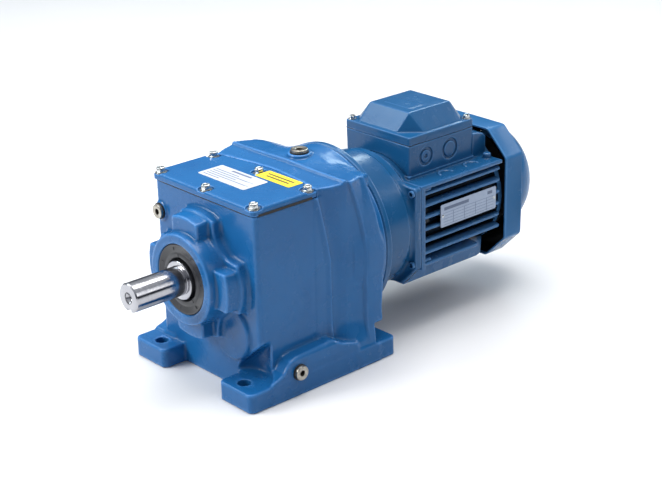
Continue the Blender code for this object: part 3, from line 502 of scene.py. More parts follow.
def field_mesh(name, field, low, high, steps, limit=190000):
    """Closed mesh of the surface where a distance field is zero: one point in each cell that the surface
    crosses, drawn onto the surface, and faces between them, thinned to the limit of triangles.
    The cell size has a quick and a full value, and only the full value is used."""
    step = steps[1]
    axes = [np.arange(a, b + step, step, dtype=np.float32) for a, b in zip(low, high)]
    grid = [axes[0][:, None, None], axes[1][None, :, None], axes[2][None, None, :]]
    shape = tuple(len(a) for a in axes)
    value = np.broadcast_to(field(*grid), shape).astype(np.float32)
    inside = value < 0
    cells = tuple(n - 1 for n in shape)
    corners = list(itertools.product((0, 1), repeat=3))
    count = np.zeros(cells, np.int8)
    for i, j, k in corners:
        count += inside[i:i + cells[0], j:j + cells[1], k:k + cells[2]]
    active = np.argwhere((count > 0) & (count < 8))
    index = np.full(cells, -1, np.int32)
    index[tuple(active.T)] = np.arange(len(active))
    total = np.zeros((len(active), 3))
    hits = np.zeros(len(active))
    for a in corners:
        for axis in range(3):
            if a[axis]:
                continue
            b = tuple(c + (n == axis) for n, c in enumerate(a))
            va = value[tuple((active + a).T)]
            vb = value[tuple((active + b).T)]
            crossed = (va < 0) != (vb < 0)
            t = np.where(crossed, va / np.where(crossed, va - vb, 1), 0)
            point = np.array(a, float)[None, :] + np.zeros((len(active), 1))
            point[:, axis] += t
            total += point * crossed[:, None]
            hits += crossed
    vertices = (active + total / hits[:, None]) * step + np.array([a[0] for a in axes])
    for _ in range(2):
        x, y, z = vertices.T
        h = 0.15
        here = field(x, y, z)
        slope = np.stack([field(x + h, y, z) - field(x - h, y, z),
                          field(x, y + h, z) - field(x, y - h, z),
                          field(x, y, z + h) - field(x, y, z - h)], 1) / (2 * h)
        squared = np.maximum((slope ** 2).sum(1), 0.2)
        move = -(here / squared)[:, None] * slope
        length = np.maximum(np.linalg.norm(move, axis=1, keepdims=True), 1e-9)
        vertices = vertices + move * np.minimum(1, 0.7 * step / length)
    quads = []
    for axis in range(3):
        u, v = (axis + 1) % 3, (axis + 2) % 3
        near = [slice(None)] * 3
        far = [slice(None)] * 3
        near[axis], far[axis] = slice(0, shape[axis] - 1), slice(1, None)
        first = inside[tuple(near)]
        edges = np.argwhere(first != inside[tuple(far)])
        keep = (edges[:, u] > 0) & (edges[:, v] > 0) & (edges[:, u] < cells[u]) & (edges[:, v] < cells[v])
        edges = edges[keep]
        ring = []
        for du, dv in ((-1, -1), (0, -1), (0, 0), (-1, 0)):
            cell = edges.copy()
            cell[:, u] += du
            cell[:, v] += dv
            ring.append(index[tuple(cell.T)])
        ring = np.stack(ring, 1)
        outward = first[tuple(edges.T)]
        quads.append(np.where(outward[:, None], ring, ring[:, ::-1]))
    quads = np.concatenate(quads)
    quads = quads[(quads >= 0).all(1)]
    mesh = bpy.data.meshes.new(name)
    mesh.vertices.add(len(vertices))
    mesh.vertices.foreach_set("co", (vertices * MM).astype(np.float32).ravel())
    mesh.loops.add(quads.size)
    mesh.loops.foreach_set("vertex_index", quads.ravel().astype(np.int32))
    mesh.polygons.add(len(quads))
    mesh.polygons.foreach_set("loop_start", np.arange(0, quads.size, 4, dtype=np.int32))
    mesh.update(calc_edges=True)
    mesh.polygons.foreach_set("use_smooth", [True] * len(quads))
    obj = in_scene(name, mesh)
    triangles = 2 * len(quads)
    if triangles > limit:
        thin = obj.modifiers.new("thinning", "DECIMATE")
        thin.ratio = limit / triangles
    return weighted(obj)


# ---- gearbox housing
FOOT_OUTER = HOUSING_HIGH[0]
FOOT_END = HOUSING_HIGH[1]
HOLE_X, HOLE_Y = 67.5, 82.5
LAY_X, LAY_Z = JOINTS["layshaft_spin"]["pos_m"][0] / MM, JOINTS["layshaft_spin"]["pos_m"][2] / MM
FOOT_TOP = 20.5
COVER_SEAT = 192.2
COVER_SHOULDER = 8.1
COVER_ARCH = COVER_HIGH[1] - COVER_SHOULDER
COVER_BOLTS = [(x, y) for y in (-65.9, 1.4) for x in (-73.2, 0.0, 73.2)]
LEVEL_AT, DRAIN_AT, BREATHER_AT = (-71.0, 160.0), (-34.9, 24.8), (0.0, 55.0)


def cover_plan(x, y, grow, radius):
    """Outline of the cover from above, with its arched rear edge."""
    rear = COVER_SHOULDER + COVER_ARCH * np.clip(1 - (x / 73.0) ** 2, 0, 1)
    body = rounded_rect(x, y, -80.0 - grow, 80.0 + grow, -72.7 - grow, 30.0, radius)
    return meet(body, y - rear - grow, 3.0)


def housing_field(x, y, z):
    side, dz, r = around_axis(x, z)
    front = meet(rounded_rect(x, y, -79, 79, -70, 40, 5), z - COVER_SEAT, 1.0)

    g1 = np.clip((z - 120) / 75, 0, 1)
    g3 = np.clip((z - 124) / 76, 0, 1)
    y1 = 23 - 16 * g1 ** 1.2
    y3 = 63 - 18 * g3 ** 2
    s = (y - y1) / (y3 - y1)
    w = np.interp(s, [-0.16, -0.05, 0, 0.06, 0.13, 0.42, 0.90, 0.96, 1.02, 1.2, 3],
                  [79, 80.6, 80.9, 78.2, 78.6, 83.6, 87.8, 91.3, 91.8, 92.4, 92.7])
    w = w - 8.5 * g3 ** 2 * np.clip((y - 40) / 20, 0, 1)
    w = w + np.maximum(FOOT_OUTER - 0.4 - w, 0) * (1 - eased(z, 18, 56)) * eased(y, 14, 46)
    edge = np.interp(y, [8, 22, 35, 37, 39, 41.5, 53, 62, 70, 76, 88],
                     [200.2, 200.6, 201.2, 203.9, 204.2, 202.4, 201.8, 201.2, 200.0, 198, 193])
    crown = np.interp(y, [8, 22, 35, 37, 39, 41.5, 53, 88],
                      [200.5, 201.2, 201.9, 205.1, 205.5, 203.9, 205.2, 205.6])
    top = edge + (crown - edge) * eased(1 - side / 58, 0.0, 1.0)
    rear = np.interp(z, [0, 20, 40, 61, 83, 125, 160, 186, 200], [74, 74, 82, 82, 84, 84, 77, 70, 66])
    rear = rear + eased(1 - side / 86, 0.0, 0.25) * (88 - rear) * eased(z, 170, 186)
    block = meet(side - w, z - top, 2.2)
    block = meet(block, y - rear, 3.0)
    block = both(block, -(y - 4.0))
    rim = meet(r - np.interp(y, [50, 60, 64, 88], [87.0, 91.0, 92.7, 92.7]), slab(y, 50, 88), 1.2)
    body = join(front, join(block, rim, 3.0), 1.5)

    pad = meet(rounded_rect(side, y, 44.5, FOOT_OUTER, -FOOT_END, FOOT_END, 7), z - FOOT_TOP, 3.0)
    crest = np.interp(y, [-73, -62, -55, -50, -45, -36, 1, 8, 14, 24, 45],
                      [22, 25, 28.5, 34, 39, 41, 42, 43, 42, 36, 30])
    skirt = np.interp(z, [0, 28, 38, 44, 52, 60, 70],
                      [FOOT_OUTER, FOOT_OUTER, 94.6, 91.5, 85.0, 80.5, 77.0])
    rail = meet(meet(side - skirt, slab(y, -71.5, 45), 3.0), z - crest, 2.5)
    rail = both(rail, 60 - side)
    body = join(body, join(pad, rail, 1.5), 3.5)

    round_boss = meet(r - np.interp(y, [-103.4, -99, -88, -80, -70], [46.5, 47.4, 47.8, 49.0, 52.0]),
                            slab(y, -103.4, -50), 1.6)
    arms = either(side, np.abs(dz)) - 20.0
    lugs = meet(meet(arms, r - np.interp(y, [-95, -70], [63.2, 64.8]), 2.0), -(y + 95.0), 2.0)
    web = meet(join(side - 26.0, np.abs(dz) - 26.0, 34.0), r - 66.0, 2.5)
    web = meet(web, -(y + 80.5), 2.5)
    nose = join(join(round_boss, both(lugs, y + 50), 2.5), both(web, y + 50), 3.0)
    body = join(body, nose, 4.5)
    lay = meet(disc(x, z, LAY_X + 1.0, LAY_Z + 2.0, 28.5), slab(y, -74.0, -50), 3.0)
    body = join(body, lay, 4.0)
    body = join(body, meet(disc(x, z, *LEVEL_AT, 9.2), slab(y, -71.4, -50), 0.8), 3.0)
    body = join(body, meet(disc(x, y, *BREATHER_AT, 12.0), slab(z, 190, 208.2), 0.8), 3.0)

    hollow = either(meet(rounded_rect(x, z, -71.5, 71.5, 11, 178, 9), slab(y, -62, 40), 4.0),
                    both(rounded_rect(x, y, -65.5, 65.5, -57.5, -7.5, 8), slab(z, 170, 215)),
                    both(rounded_rect(x, z, -80, 80, 13, 188, 26), slab(y, 34, 64.5)),
                    both(r - 87.0, slab(y, 64, 100)))
    body = both(body, -hollow, -both(cover_plan(x, y, 0.5, 7.5), COVER_SEAT - z))

    bearing_wall = both(rounded_rect(x, z, -74, 74, 77, 153, 3), slab(y, -8.8, 8.8))
    bearing_nest = rod(x, z, (LAY_X, LAY_Z), 27, y, -66, -41.7)
    pocket_wall = both(disc(x, y, HOLE_X, -HOLE_Y, 34), slab(z, 6, 62), x - 75.5, -(y + 66.5))
    body = either(body, bearing_wall, bearing_nest, pocket_wall)

    ceiling = 24.0 + 0.88 * (x - HOLE_X + 28.0)
    pocket = meet(disc(x, y, HOLE_X, -HOLE_Y, 28.0), meet(FOOT_TOP - z, z - ceiling, 1.0), 5.0)
    rear_pocket = meet(rounded_rect(side, y, 54.5, 110, 70, 115, 11), slab(z, FOOT_TOP, 42), 2.0)
    body = meet(body, -pocket, 2.5)
    body = meet(body, -rear_pocket, 2.0)
    seats = [both(r - radius, slab(y, start, end)) for radius, start, end in (
        (36.6, -110, -89), (40.25, -90, -40), (31.25, -20, 7.6), (27.0, 0, 20), (42.2, -71.5, -69.0))]
    mouth = both(r - np.interp(y, [-104, -102.2], [38.4, 36.6]), slab(y, -106, -101))
    screw_holes = [rod(x, y, at, 2.8, z, 176, 206) for at in COVER_BOLTS]
    bores = either(
        *seats, mouth, rod(x, z, (LAY_X, LAY_Z), 21.25, y, -56, -40), rod(x, z, LEVEL_AT, 5.3, y, -90, -55),
        rod(y, z, DRAIN_AT, 5.3, x, 66, 110), rod(x, y, BREATHER_AT, 6.3, z, 180, 220),
        rod(side, np.abs(y), (HOLE_X, HOLE_Y), 7.0, z, -10, 30), *screw_holes)
    return both(body, -bores, -z)


housing = field_mesh("cast_gearbox_housing", housing_field, HOUSING_LOW - 1.6,
                     HOUSING_HIGH + (1.6, 1.6, 2.4), (2.4, 1.25))
dress(housing, "casing", "gearbox_paint", GEARBOX_PAINT, "gearbox_housing")


# ---- inspection cover
def cover_field(x, y, z):
    low, high = COVER_LOW[2], COVER_HIGH[2]
    plan = cover_plan(x, y, 0.0, 6.0)
    body = meet(meet(plan, z - high, 3.2), low - z, 0.5)
    for bx, by in COVER_BOLTS:
        spot = meet(disc(x, y, bx, by, 7.9), high - 2.3 - z, 1.0)
        body = both(meet(body, -spot, 1.0), -disc(x, y, bx, by, 2.8))
    return body


cover = field_mesh("cast_inspection_cover", cover_field, COVER_LOW - 1.2, COVER_HIGH + 1.2,
                   (1.4, 0.62), 150000)
dress(cover, "casing", "gearbox_paint", GEARBOX_PAINT, "inspection_cover")


# dark strip along the cover's lower edge, a superellipse: the dark joint, with painted shadow under the
# cover's edge
bead_outline = []
for c, s in circle(0.0, 0.0, 1.0, 64):
    reach = (abs(c / 81.0) ** 14 + abs(s / 40.2) ** 14) ** (-1 / 14)
    bead_outline.append((reach * c, -32.3 + reach * s))
bead_rings = [placed(bead_outline, "Z", level) for level in (192.35, COVER_LOW[2] + 1.5)]
joint_shadow_strip = soften(loft("cover_joint_shadow", bead_rings), 0.2, 1)
dress(joint_shadow_strip, "casing", "gasket", GASKET)


# ---- drive end shield of the motor
SCREW_X = 69.8
SCREW_DZ = (41.0, -38.6)


def shield_field(x, y, z):
    side, dz, r = around_axis(x, z)
    rim = np.interp(y, [88.4, 89.6, 90.0], [SHIELD_LOW[0] * -1 - 1.6, SHIELD_HIGH[0] - 1.4, SHIELD_HIGH[0]])
    flange = meet(r - rim, slab(y, 88.4, 96.5), 1.0)
    barrel = r - np.interp(y, [88, 96.5, 138, 141, 150], [77.5, 76.6, 75.2, 73.4, 73.0])
    barrel = both(barrel, slab(y, 90, 150))
    plate = both(rounded_rect(x, z, -74, 74, 40, 162, 4.0), (side - 74) * 0.73 + (72 - z) * 0.68, 49.0 - z)
    plate = meet(plate, slab(y, 148.0, 157.0), 1.6)
    body = join(join(flange, barrel, 5.0), plate, 6.0)
    hollow = either(both(r - 68.0, slab(y, 80, 104)), both(r - 58.5, slab(y, 122, 170)))
    bearing_seat = both(r - 34.0, slab(y, 110, 133.4))
    spigot = both(r - 62.0, 58.5 - r, slab(y, 150, 156.6))
    body = either(both(body, -hollow), bearing_seat, spigot)
    bores = [both(r - 26.3, slab(y, 117.5, 140)), both(r - 20.0, slab(y, 100, 120))]
    for level in SCREW_DZ:
        bores += [rod(side, dz, (SCREW_X, level), 2.3, y, 140, 170),
                  rod(side, dz, (SCREW_X, level), 4.4, y, 140, 148.2)]
    return both(body, -either(*bores))


shield = field_mesh("cast_drive_end_shield", shield_field, SHIELD_LOW - 1.4, SHIELD_HIGH + 1.4,
                    (2.4, 1.15))
dress(shield, "casing", "motor_paint", MOTOR_PAINT, "drive_end_shield")

# ---- finned motor frame
FIN_LEVELS = (152.1, 138.7, 125.4, 112.1, 98.8, 85.5, 72.3)
FIN_ROOT = 64.0
CORE_FRONT_END = 163.0


def frame_core_field(x, y, z):
    side, dz, r = around_axis(x, z)
    low, high = FRAME_LOW[1], FRAME_HIGH[1]
    tube = both(r - 66.0, slab(y, low, high))
    band = both(side - 74, np.abs(dz) - 47, slab(y, low, CORE_FRONT_END))
    foot = both(side - 47, slab(z, 47.0, 80.0), slab(y, low, CORE_FRONT_END))
    shelf = both(side - 74, slab(z, 158.0, 162.0), slab(y, low, high - 2.5))
    shelf = meet(shelf, -(z - 158.0), 0.5)
    body = join(tube, either(band, foot, shelf), 2.5)
    pad = both(side - 49.6, slab(z, 150.0, BOX_LOW[2] - 0.3), slab(y, CORE_FRONT_END, 262.0))
    body = join(body, pad, 1.5)
    behind = meet(both(side - 47.0, 155.0 - z), slab(y, 262.0, 283.0), 1.0)
    behind = meet(behind, z - np.interp(y, [262, 272, 279, 283], [189.5, 188.6, 186.6, 183.0]), 1.5)
    body = join(body, behind, 2.0)
    for ay in (207.0, 246.0):
        arc = both(np.abs(disc(side, y, 62.0, ay, 9.0)) - 1.1, slab(z, 158, 163.1), side - 62.0)
        body = join(body, arc, 0.8)
    boss = meet(disc(side, y, 57.5, 274.0, 5.2 - 0.10 * (z - 158)), slab(z, 158, 168.0), 1.5)
    body = join(body, boss, 1.5)
    cable_way = both(side - 14, slab(y, 205, 225), slab(z, 160, 190))
    screw_holes = [rod(side, dz, (SCREW_X, level), 2.3, y, 150, 173.5) for level in SCREW_DZ]
    return both(body, -either(both(r - 60.3, slab(y, 150, 300)), cable_way, *screw_holes))


def fin(name, points, front, rear, thick, tip_round, across):
    """One cast fin: a flat bar from root to tip with a rounded tip and rear corner."""
    (root, level), (tip, tip_level) = points
    half = thick / 2
    outline = [(root, -half * 1.25), (tip - half, -half * 0.8)]
    for i in range(1, 6):
        a = -math.pi / 2 + math.pi * i / 6
        outline.append((tip - half + half * 0.8 * math.cos(a), half * 0.8 * math.sin(a)))
    outline += [(tip - half, half * 0.8), (root, half * 1.25)]
    rings = []
    for y, pull in ((front, 0.0), (rear - tip_round, 0.0), (rear - tip_round * 0.4, tip_round * 0.16),
                    (rear - tip_round * 0.1, tip_round * 0.45), (rear, tip_round)):
        ring = []
        for out, up in outline:
            reach = out - (pull if out > root + 1 else 0)
            if across == "Z":
                ring.append((math.copysign(1, tip_level) * reach, y, level + up))
            else:
                ring.append((level + up, y, AXIS_Z - reach))
        rings.append(ring)
    return loft(name, rings)


core = field_mesh("frame_core_shell", frame_core_field, FRAME_LOW - 1.5,
                  (FRAME_HIGH[0] + 1.5, FRAME_HIGH[1] + 1.5, 192.0), (2.4, 1.15), 120000)
parts = [core]
for side in (-1, 1):
    for n, level in enumerate(FIN_LEVELS):
        offset = level - AXIS_Z
        root = math.sqrt(FIN_ROOT ** 2 - offset ** 2)
        rear = FRAME_HIGH[1] - 3.0 if n < 6 else 247.0
        parts.append(fin(f"side_fin_{side}_{n}", ((root, level), (73.6, side)), 161.0, rear, 4.2, 5.0, "Z"))
for n in range(7):
    at = -45.2 + 90.4 * n / 6
    root = math.sqrt(FIN_ROOT ** 2 - at ** 2)
    parts.append(fin(f"bottom_fin_{n}", ((root, at), (71.8, 1)), FRAME_LOW[1] + 0.2, FRAME_HIGH[1] - 6.0,
                     4.0, 6.0, "X"))
stator_frame = weighted(crisp(joined("finned_stator_frame", parts), 50))
dress(stator_frame, "casing", "motor_paint", FRAME_PAINT, "stator_frame")


# ---- fan cowl
def octagon_round(half, corner, radius, blend):
    """Octagon with small rounded corners, drawn towards a circle by blend."""
    corners = [Vector(at) for at in (
        (half, -corner), (half, corner), (corner, half), (-corner, half), (-half, corner), (-half, -corner),
        (-corner, -half), (corner, -half))]
    points = []
    for n, here in enumerate(corners):
        before, after = corners[n - 1], corners[(n + 1) % 8]
        start = here + (before - here).normalized() * 3.2
        end = here + (after - here).normalized() * 3.2
        stop = after + (here - after).normalized() * 3.2
        for t in (k / 6 for k in range(7)):
            points.append((1 - t) ** 2 * start + 2 * t * (1 - t) * here + t ** 2 * end)
        points += [end + (stop - end) * (k / 8) for k in range(1, 8)]
    out = []
    for point in points:
        a = math.atan2(point.y, point.x)
        r = point.length * (1 - blend) + radius * blend
        out.append((r * math.cos(a), AXIS_Z + r * math.sin(a)))
    return out


COWL_STEP = 314.4
COWL_END = COWL_HIGH[1]
# place along the axis, share of the round shape, radius of the round shape
stations = [(COWL_LOW[1], 0.0, 80.0), (COWL_LOW[1] + 3.0, 0.0, 80.0)]
stations += [(COWL_STEP + past, blend, radius) for past, blend, radius in (
    (-2.6, 0.0, 80.0), (-1.2, 0.03, 73.0), (-0.4, 0.12, 72.0), (0.0, 0.30, 71.0), (0.6, 0.72, 69.4),
    (2.0, 0.94, 68.4), (4.6, 1.0, 68.0), (12.0, 1.0, 66.4), (20.0, 1.0, 64.0), (26.0, 1.0, 61.2))]
stations += [(COWL_END - short, 1.0, radius) for short, radius in (
    (8.0, 57.3), (4.5, 54.6), (1.6, 51.4), (0.0, 48.4))]
bm = bmesh.new()
rows = [[bm.verts.new(p) for p in placed(octagon_round(COWL_HIGH[0], 47.0, radius, blend), "Y", y)]
        for y, blend, radius in stations]
for low, high in zip(rows, rows[1:]):
    for i in range(len(low)):
        j = (i + 1) % len(low)
        bm.faces.new((low[i], high[i], high[j], low[j]))
wall = from_bmesh("cowl_skin", bm)
sheet_metal = wall.modifiers.new("sheet", "SOLIDIFY")
sheet_metal.thickness = 1.6 * MM
sheet_metal.offset = -1.0
sheet_metal.use_even_offset = True
parts = [crisp(joined("cowl_wall_part", [wall]), 30)]
# the grille: overlapping pressed rings, twelve spokes and a disc
for n, radius in enumerate((47.6, 40.6, 33.6, 26.6, 19.6)):
    steps = [(radius, 0.5), (radius - 0.4, 0.8), (radius - 7.5, -2.2), (radius - 7.5, -3.0), (radius, -0.3)]
    parts.append(lathe(f"cowl_ring_{n}", (0, AXIS_Z), "Y", from_face(COWL_END - 0.9, steps), 96, True))
for n in range(12):
    parts.append(radial_bar(f"cowl_spoke_{n}", math.tau * (n + 0.5) / 12, 11.0, 49.5, 1.6,
                            COWL_END - 0.5, COWL_END - 1.7))
steps = [(0, -0.1), (11.5, -0.1), (12.6, -0.6), (12.6, -1.8), (0, -1.8)]
parts.append(lathe("cowl_disc", (0, AXIS_Z), "Y", from_face(COWL_END, steps), 64))
cowl = crisp(joined("pressed_fan_cowl", parts), 30)
dress(cowl, "casing", "motor_paint", SHEET_PAINT, "fan_cowl")


# ---- terminal box and its lid
KNOCK_OUTS = ((189.0, 182.6), (225.0, 182.6))


def box_field(x, y, z):
    side, dz, r = around_axis(x, z)
    low, high = BOX_LOW, BOX_HIGH
    taper = (high[2] - z) * 0.012
    body = both(rounded_rect(x, y, low[0] + taper, high[0] - taper, low[1] + taper, high[1] - taper, 2.6),
                slab(z, low[2], high[2]))
    for at, radius in zip(KNOCK_OUTS, (10.0, 11.5)):
        groove = np.abs(disc(y, z, *at, radius - 1.6)) - 1.7
        body = meet(body, -both(groove, high[0] - 1.9 - side), 0.5)
    pip = both(disc(y, z, *KNOCK_OUTS[0], 2.2), high[0] - 1.5 - side)
    room = both(rounded_rect(x, y, -45.5, 45.5, 167.5, 257.5, 3.0), 185.5 - z)
    cable_way = both(side - 13, slab(y, 206, 224), slab(z, 160, 195))
    return both(body, -pip, -either(room, r - 66.5, cable_way))


terminal_box = field_mesh("cast_terminal_box", box_field, BOX_LOW - 1.2, BOX_HIGH + 1.2,
                          (1.8, 0.8), 120000)
dress(terminal_box, "casing", "motor_paint", MOTOR_PAINT, "terminal_box")

LID_RIM_TOP = 208.0
LID_SCREW_X = 43.6
LID_SCREW_INSET = 5.4


def lid_field(x, y, z):
    side = np.abs(x)
    low, high = LID_LOW, LID_HIGH
    body = both(rounded_rect(x, y, low[0], high[0], low[1], high[1], 2.6), low[2] - z)
    rim = meet(body, z - LID_RIM_TOP, 1.2)
    up = z - LID_RIM_TOP
    rise = high[2] - LID_RIM_TOP
    foot_x, foot_front, foot_rear = 46.0, low[1] + 4.6, high[1] - 4.5
    top_x, top_front, top_rear = 29.8, 182.9, 243.9

    def leaning(beyond_foot, lean):
        return (beyond_foot + up * lean / rise) * rise / math.hypot(rise, lean)

    flank = leaning(side - foot_x, foot_x - top_x)
    front = leaning(foot_front - y, top_front - foot_front)
    rear = leaning(y - foot_rear, foot_rear - top_rear)
    reach_f = np.where(x > 0, 143.6, 135.6)
    reach_r = np.where(x > 0, 291.0, 283.0)
    facet_f = (side - y + reach_f + up * (top_front - top_x - reach_f) / rise) / 1.5
    facet_r = (side + y - reach_r + up * (reach_r - top_x - top_rear) / rise) / 1.5
    hood = meet(meet(flank, meet(front, rear, 0.9), 0.9), z - high[2], 0.9)
    hood = both(meet(meet(hood, facet_f, 0.7), facet_r, 0.7), body)
    screw_y = either(np.abs(y - low[1] - LID_SCREW_INSET), np.abs(y - high[1] + LID_SCREW_INSET))
    blank_pad = rounded_rect(x, y, -20.0, 20.0, 193.0, 213.0, 3.0)
    body = either(join(rim, hood, 1.2), both(blank_pad, slab(z, high[2] - 1.0, high[2] + 0.5)))
    inside = both(rounded_rect(x, y, low[0] + 3, high[0] - 3, low[1] + 3, high[1] - 3, 2.0), hood + 3.0)
    return both(body, -both(inside, 10.0 - np.hypot(side - LID_SCREW_X, screw_y)))


lid = field_mesh("cast_terminal_lid", lid_field, LID_LOW - 1.2, LID_HIGH + 1.2,
                 (1.8, 0.8), 120000)
dress(lid, "casing", "motor_paint", MOTOR_PAINT, "terminal_box_lid")


# ---- fasteners and plugs
def hex_bolt(name, x, y, seat, flat, height):
    """Hexagon head with rounded edges and a ring on its top, over a washer face."""
    corner = flat / math.sqrt(3)
    top = seat + height
    head = loft(f"{name}_head", [placed(circle(x, y, corner, 6, 0.3), "Z", z) for z in (seat + 1.2, top)])
    soften(head, 0.45, 3)
    steps = [(2.9, 0.0), (corner + 1.1, 0.0), (corner + 1.3, 0.4), (corner + 1.0, 1.1), (2.9, 1.2)]
    washer = crisp(lathe(f"{name}_washer", (x, y), "Z", from_face(seat, steps), 48, True))
    steps = [(0, 0.02), (corner * 0.55, 0.02), (corner * 0.62, 0.25), (corner * 0.72, 0.02), (0, -0.6)]
    ring = crisp(lathe(f"{name}_ring", (x, y), "Z", from_face(top, steps), 36))
    shank = lathe(f"{name}_shank", (x, y), "Z", [(0, 180.2), (2.2, 180.2), (2.5, 180.6), (2.5, seat + 1.4),
                                                (0, seat + 1.4)], 24)
    return joined(name, [head, washer, ring, shank])


for row, column in itertools.product(("front", "rear"), ("left", "middle", "right")):
    low, high = node_box(f"cover_bolt_{row}_{column}")
    x, y = (low[0] + high[0]) / 2, (low[1] + high[1]) / 2
    bolt = hex_bolt(f"hex_bolt_{row}_{column}", x, y, COVER_HIGH[2] - 2.2, 8.4, 6.2)
    dress(crisp(bolt, 35), "casing", "zinc", ZINC, f"cover_bolt_{row}_{column}")


def socket_plug(name, node, axis, outward):
    """Round-headed screw plug with a rounded edge, and a socket whose inside is painted shade."""
    low, high = node_box(node)
    which = "XYZ".index(axis)
    u, v = [n for n in range(3) if n != which]
    centre = ((low[u] + high[u]) / 2, (low[v] + high[v]) / 2)
    radius = (high[u] - low[u]) / 2
    face = high[which] if outward > 0 else low[which]
    ring_low, ring_high = node_box(f"{node}_seal_ring")
    seat = ring_high[which] + 0.12 if outward > 0 else ring_low[which] - 0.12
    socket = 3.0 if radius < 8.5 else 3.6
    profile = from_face(face, [(0.0, -8.0), (socket * 0.98, -7.6), (socket * 1.02, -0.5),
                               (socket * 1.32, -0.15), (radius - 2.2, -0.15), (radius - 1.6, 0.0),
                               (radius - 0.9, 0.0), (radius - 0.25, -0.35), (radius, -1.0)], outward)
    profile += from_face(seat, [(radius, 0.0), (radius * 0.62, 0.0), (radius * 0.62, -12.0), (0.0, -12.4)],
                         outward)
    head = crisp(lathe(name, centre, axis, profile, 72))
    dress(head, "casing", "nickel", NICKEL, node)
    # painted shade: the faces inside the socket take the near-black gasket material
    head.data.materials.append(GASKET)
    for face_of in head.data.polygons:
        middle = np.array(face_of.center) / MM
        near_axis = math.hypot(middle[u] - centre[0], middle[v] - centre[1]) < socket * 0.99
        if near_axis and (face - middle[which]) * outward > 0.6:
            face_of.material_index = 1


socket_plug("turned_level_plug", "level_plug", "Y", -1)
socket_plug("turned_drain_plug", "drain_plug", "X", 1)
socket_plug("turned_breather_plug", "breather_plug", "Z", 1)

for hand, side in (("right", 1), ("left", -1)):
    for level, dz in zip(("upper", "lower"), SCREW_DZ):
        low, high = node_box(f"shield_screw_{level}_{hand}")
        profile = from_face(low[1], [(0.0, 2.6), (2.2, 2.4), (2.25, 0.2), (2.5, 0.0), (3.4, 0.0),
                                     (3.7, 0.3), (3.7, 3.0), (1.9, 3.0)])
        profile += [(1.9, high[1]), (0.0, high[1])]
        screw = crisp(lathe(f"cap_screw_{level}_{hand}", (side * SCREW_X, AXIS_Z + dz), "Y", profile, 40))
        dress(screw, "casing", "motor_paint", MOTOR_PAINT, f"shield_screw_{level}_{hand}")

for n, (x, y) in enumerate(((-LID_SCREW_X, LID_LOW[1] + LID_SCREW_INSET),
                            (LID_SCREW_X, LID_HIGH[1] - LID_SCREW_INSET))):
    profile = from_face(LID_RIM_TOP + 0.05, [(0.0, 2.6), (1.6, 2.6), (1.7, 4.0), (3.0, 4.1), (3.4, 3.7),
                                             (3.5, 0.9), (4.6, 0.8), (4.7, 0.0), (0.0, 0.0)])
    dress(crisp(lathe(f"lid_screw_{n + 1}", (x, y), "Z", profile, 40)), "casing", "zinc", ZINC)


# ---- output shaft and its seal
SHAFT_LOW, SHAFT_HIGH = node_box("output_shaft")
end = SHAFT_LOW[1]
# the threaded centre hole and the end face, then the outside from front to rear
steps = [(0.0, 22.0), (4.1, 19.5)]
for turn in range(14):
    steps += [(4.1, 18.6 - turn), (4.6, 18.15 - turn)]
steps += [(4.1, 4.2), (5.9, 1.6), (5.9, 0.5), (7.2, 0.0), (13.2, 0.0), (13.9, 0.25), (15.0, 1.5)]
profile = from_face(end, steps)
profile += [(15.0, -106.9), (14.8, -106.7), (14.8, -105.7), (15.3, -105.4), (19.0, -105.4), (19.5, -105.2),
            (20.0, -104.6), (20.0, -71.7), (24.0, -71.7), (24.0, -38.3), (21.0, -38.3), (21.0, -11.0),
            (18.0, -11.0), (18.0, -8.3), (14.9, -8.3), (14.9, 8.6), (14.0, SHAFT_HIGH[1]),
            (0.0, SHAFT_HIGH[1])]
shaft = lathe("turned_output_shaft", (0, AXIS_Z), "Y", profile, 128)
KEY_HALF = 4.0
KEY_END = end + 41.0
slot = [(KEY_HALF, end - 4.0), *circle(0.0, KEY_END, KEY_HALF, 32)[:17], (-KEY_HALF, end - 4.0)]
wheel_slot = [(-6.2, -35.3), (6.2, -35.3), (6.2, -14.7), (-6.2, -14.7)]
cutters = [loft("keyway_cutter", [placed(slot, "Z", AXIS_Z + level) for level in (-22.0, -11.0)]),
           loft("wheel_slot_cutter", [placed(wheel_slot, "Z", AXIS_Z + level) for level in (16.0, 30.0)])]
for cutter in cutters:
    cut = shaft.modifiers.new(cutter.name, "BOOLEAN")
    cut.operation = "DIFFERENCE"
    cut.solver = "EXACT"
    cut.object = cutter
shaft = crisp(joined("turned_output_shaft", [shaft]), 28)
for cutter in cutters:
    bpy.data.objects.remove(cutter)
dress(shaft, "output_group", "ground_steel", GROUND, "output_shaft")

face = node_box("output_shaft_seal")[0][1]
profile = from_face(face, [(20.3, 5.6), (22.2, 2.2), (22.6, 0.9), (23.4, 0.5), (26.6, 0.5), (27.2, 1.0),
                           (28.6, 1.0), (29.2, 0.5), (33.4, 0.5), (34.0, 0.0), (35.6, 0.0), (36.3, 0.7),
                           (36.3, 12.0), (33.5, 12.0), (33.5, 9.0), (26.0, 9.0)])
dashes = [crisp(lathe("moulded_shaft_seal", (0, AXIS_Z), "Y", profile, 120, True), 40)]
for n, (radius, count, offset) in enumerate(((24.9, 5, 0.35), (31.4, 7, 0.1))):
    for k in range(count):
        dashes.append(radial_bar(f"seal_mark_{n}_{k}", math.tau * (k + offset) / count, radius - 1.5,
                                 radius + 1.5, 0.45, face + 0.1, face + 0.8))
seal = joined("moulded_output_seal", dashes)
dress(seal, "casing", "seal_rubber", RUBBER, "output_shaft_seal")


